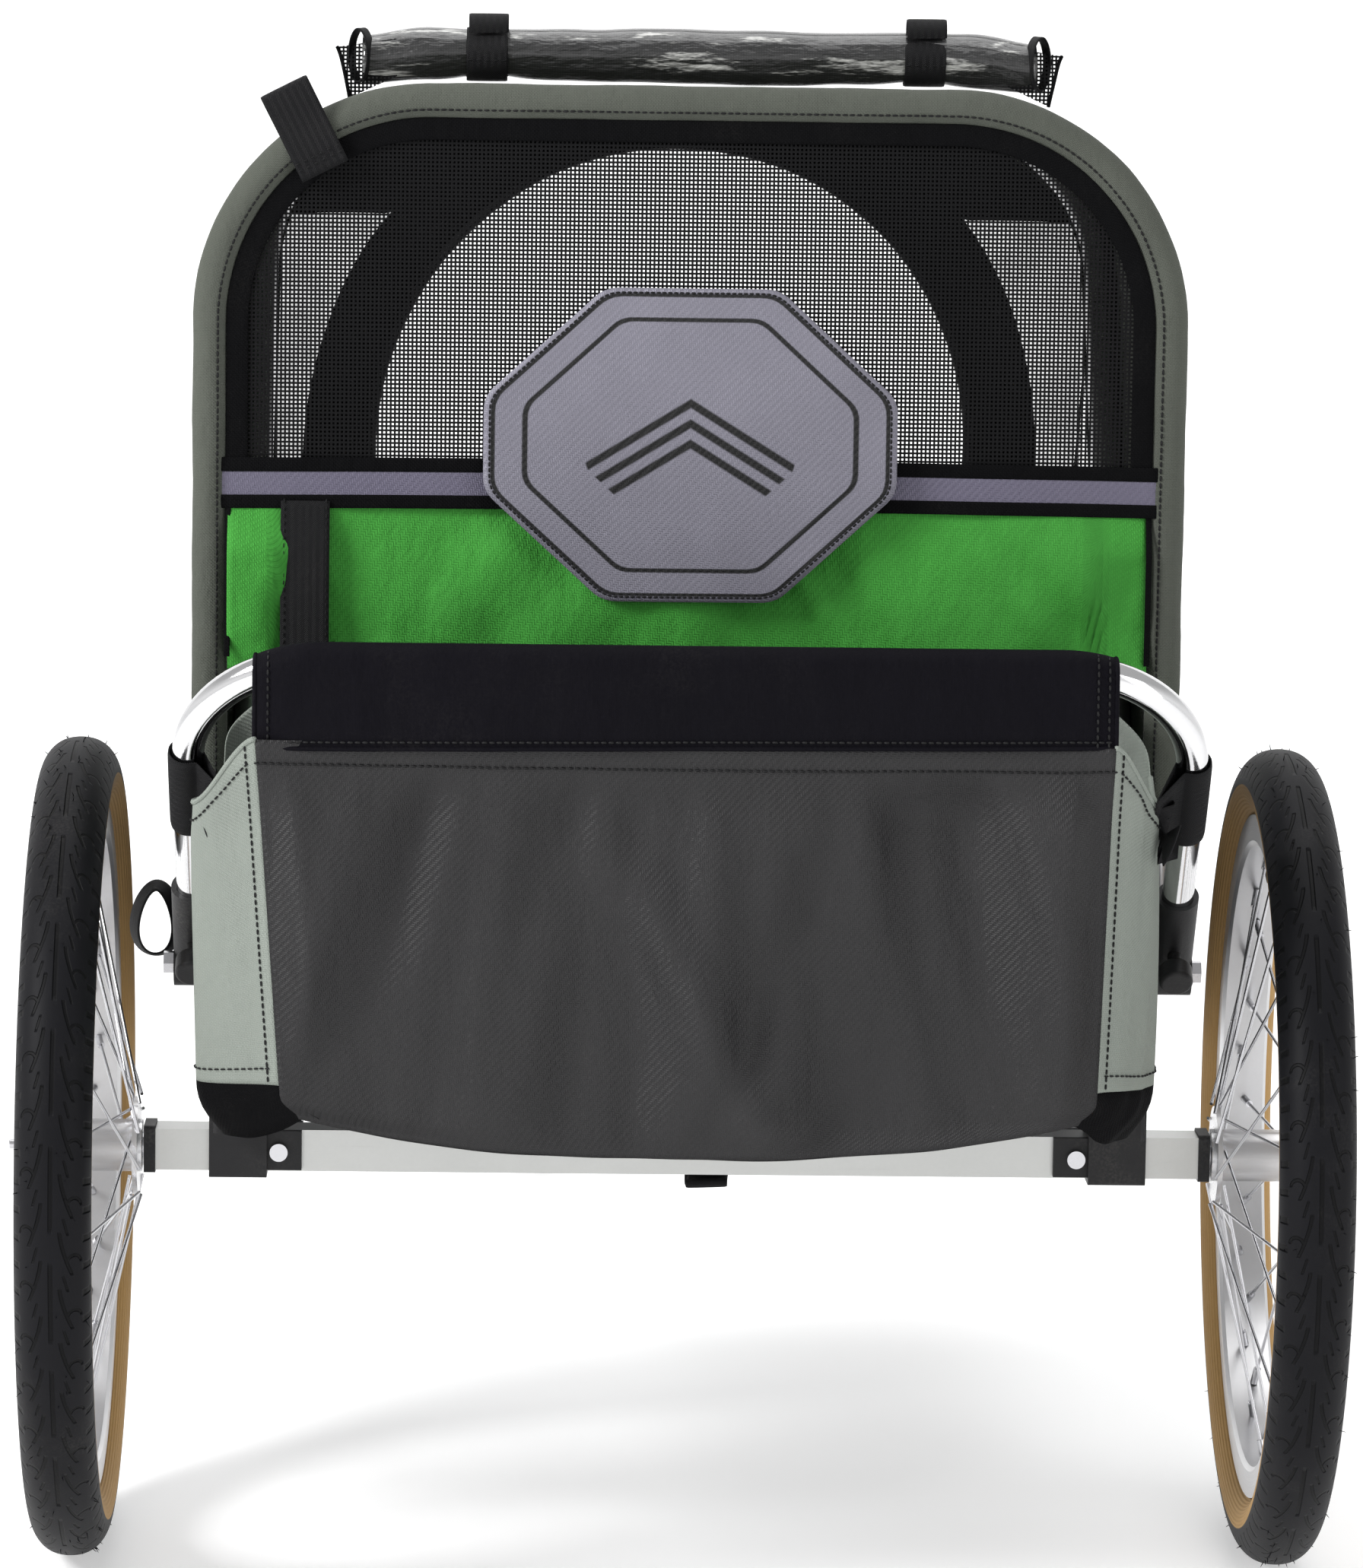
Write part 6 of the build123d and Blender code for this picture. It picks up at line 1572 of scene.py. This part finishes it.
class TRAILER_OT_cabin(bpy.types.Operator):
    """Make the low walls and the webbing on the frame"""

    bl_idname, bl_label = "trailer.cabin", "Cabin walls and webbing"

    def execute(self, context):
        for make in (tub_walls, frame_webbing, harness):
            make(looks(context))
        return {"FINISHED"}


class TRAILER_OT_pads(bpy.types.Operator):
    """Make the padded seat and seat back"""

    bl_idname, bl_label = "trailer.pads", "Seat pads"

    def execute(self, context):
        sizes, made = given(context)
        for name, source, body, axis, across in (("seat_base_pad", "seat_base", "frame", 2, 1),
                                                 ("seat_back_pad", "seat_back", "rear_hoop", 1, 2)):
            low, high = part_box(source)
            rows = np.linspace(low[across], high[across], sizes.pad_channels + 2)[1:-1]
            pad(name, source, body, made["pad"], axis, [(0, 0.0)] + [(across, r) for r in rows], sizes)
        return {"FINISHED"}


LAMPS = (("Key", (-3.2, -1.7, 2.6), (1.3, 1.2), 150), ("Fill", (3.4, -2.6, 1.2), (1.6, 2.0), 26),
         ("Top", (0.2, 0.6, 3.2), (2.6, 2.2), 42), ("Back", (0.0, 3.0, 3.4), (4.0, 2.0), 200))


class TRAILER_OT_stage(bpy.types.Operator):
    """Make the floor, the lights and the camera"""

    bl_idname, bl_label = "trailer.stage", "Studio"

    def execute(self, context):
        scene = context.scene
        a = np.linspace(0, np.pi / 2, 16)
        y = np.concatenate([[-12.0, -6.0, 0.0, 4.0], 8 + 4 * np.sin(a), [12.0]])
        z = np.concatenate([[0.0, 0.0, 0.0, 0.0], 4 - 4 * np.cos(a), [12.0]])
        x = np.linspace(-14, 14, 9)
        sweep = np.stack(np.broadcast_arrays(x[:, None], y[None], z[None]), -1)
        floor = build("studio_floor", [grid(sweep, inside=(0, 12, -6))], [looks(context)["stage"]])
        scene.world = scene.world or bpy.data.worlds.new("Studio")
        scene.world.use_nodes = True
        back = scene.world.node_tree.nodes["Background"]
        sky = scene.world.node_tree
        place, height, glow = (sky.nodes.new(kind) for kind in (
            "ShaderNodeTexCoord", "ShaderNodeSeparateXYZ", "ShaderNodeMapRange"))
        for key, value in (("From Min", 0.10), ("From Max", 0.45), ("To Min", 0.98), ("To Max", 0.50)):
            glow.inputs[key].default_value = value
        sky.links.new(place.outputs["Generated"], height.inputs[0])
        sky.links.new(height.outputs["Z"], glow.inputs["Value"])
        sky.links.new(glow.outputs["Result"], back.inputs["Strength"])
        back.inputs["Color"].default_value = (1, 1, 1, 1)
        for name, place, size, power in LAMPS:
            lamp = bpy.data.lights.new(name, "AREA")
            lamp.shape, (lamp.size, lamp.size_y), lamp.energy = "RECTANGLE", size, power
            obj = bpy.data.objects.new(name, lamp)
            obj.location = place
            aim = Vector((0, 9.0, 2.0)) if name == "Back" else Vector((0, 0.1, 0.5))
            obj.rotation_euler = (aim - Vector(place)).to_track_quat("-Z", "Y").to_euler()
            scene.collection.objects.link(obj)
        yaw, pitch, roll = 0.0250, 0.1390, 0.01405
        ahead = Vector((np.sin(yaw) * np.cos(pitch), np.cos(yaw) * np.cos(pitch), -np.sin(pitch)))
        level = Vector((np.cos(yaw), -np.sin(yaw), 0))
        rise = level.cross(ahead)
        right = level * np.cos(roll) + rise * np.sin(roll)
        up = rise * np.cos(roll) - level * np.sin(roll)
        camera = bpy.data.objects.new("Camera", bpy.data.cameras.new("Camera"))
        camera.data.lens, camera.data.sensor_width = 157.43, 36.0
        camera.data.clip_start, camera.data.clip_end = 0.05, 60.0
        camera.matrix_world = Matrix((right, up, -ahead)).transposed().to_4x4()
        camera.location = (-0.1036, -4.1212, 1.0528)
        scene.collection.objects.link(camera)
        scene.camera = camera
        scene.view_settings.view_transform = "Standard"
        return {"FINISHED"}


PIECES = (TRAILER_OT_finishes, TRAILER_OT_tyres, TRAILER_OT_roof, TRAILER_OT_rear, TRAILER_OT_windows,
          TRAILER_OT_cover, TRAILER_OT_bag, TRAILER_OT_cabin, TRAILER_OT_pads, TRAILER_OT_stage)


class TRAILER_PT_panel(bpy.types.Panel):
    """The trailer's pieces, sizes and colours"""

    bl_label, bl_idname = "Trailer", "TRAILER_PT_panel"
    bl_space_type, bl_region_type, bl_category = "VIEW_3D", "UI", "Trailer"

    def draw(self, context):
        for piece in PIECES:
            self.layout.operator(piece.bl_idname)
        for values in (context.scene.trailer_sizes, context.scene.trailer_colours):
            box = self.layout.box()
            for key in values.bl_rna.properties.keys():
                if key not in ("rna_type", "name"):
                    box.prop(values, key)


CLASSES = (TrailerSizes, TrailerColours) + PIECES + (TRAILER_PT_panel,)


def register():
    for made in CLASSES:
        bpy.utils.register_class(made)
    bpy.types.Scene.trailer_sizes = PointerProperty(type=TrailerSizes)
    bpy.types.Scene.trailer_colours = PointerProperty(type=TrailerColours)


def unregister():
    del bpy.types.Scene.trailer_sizes, bpy.types.Scene.trailer_colours
    for made in reversed(CLASSES):
        bpy.utils.unregister_class(made)


def main():
    """Make every piece in order."""
    register()
    for piece in PIECES:
        getattr(bpy.ops.trailer, piece.bl_idname.split(".")[1])()


if __name__ == "__main__":
    main()
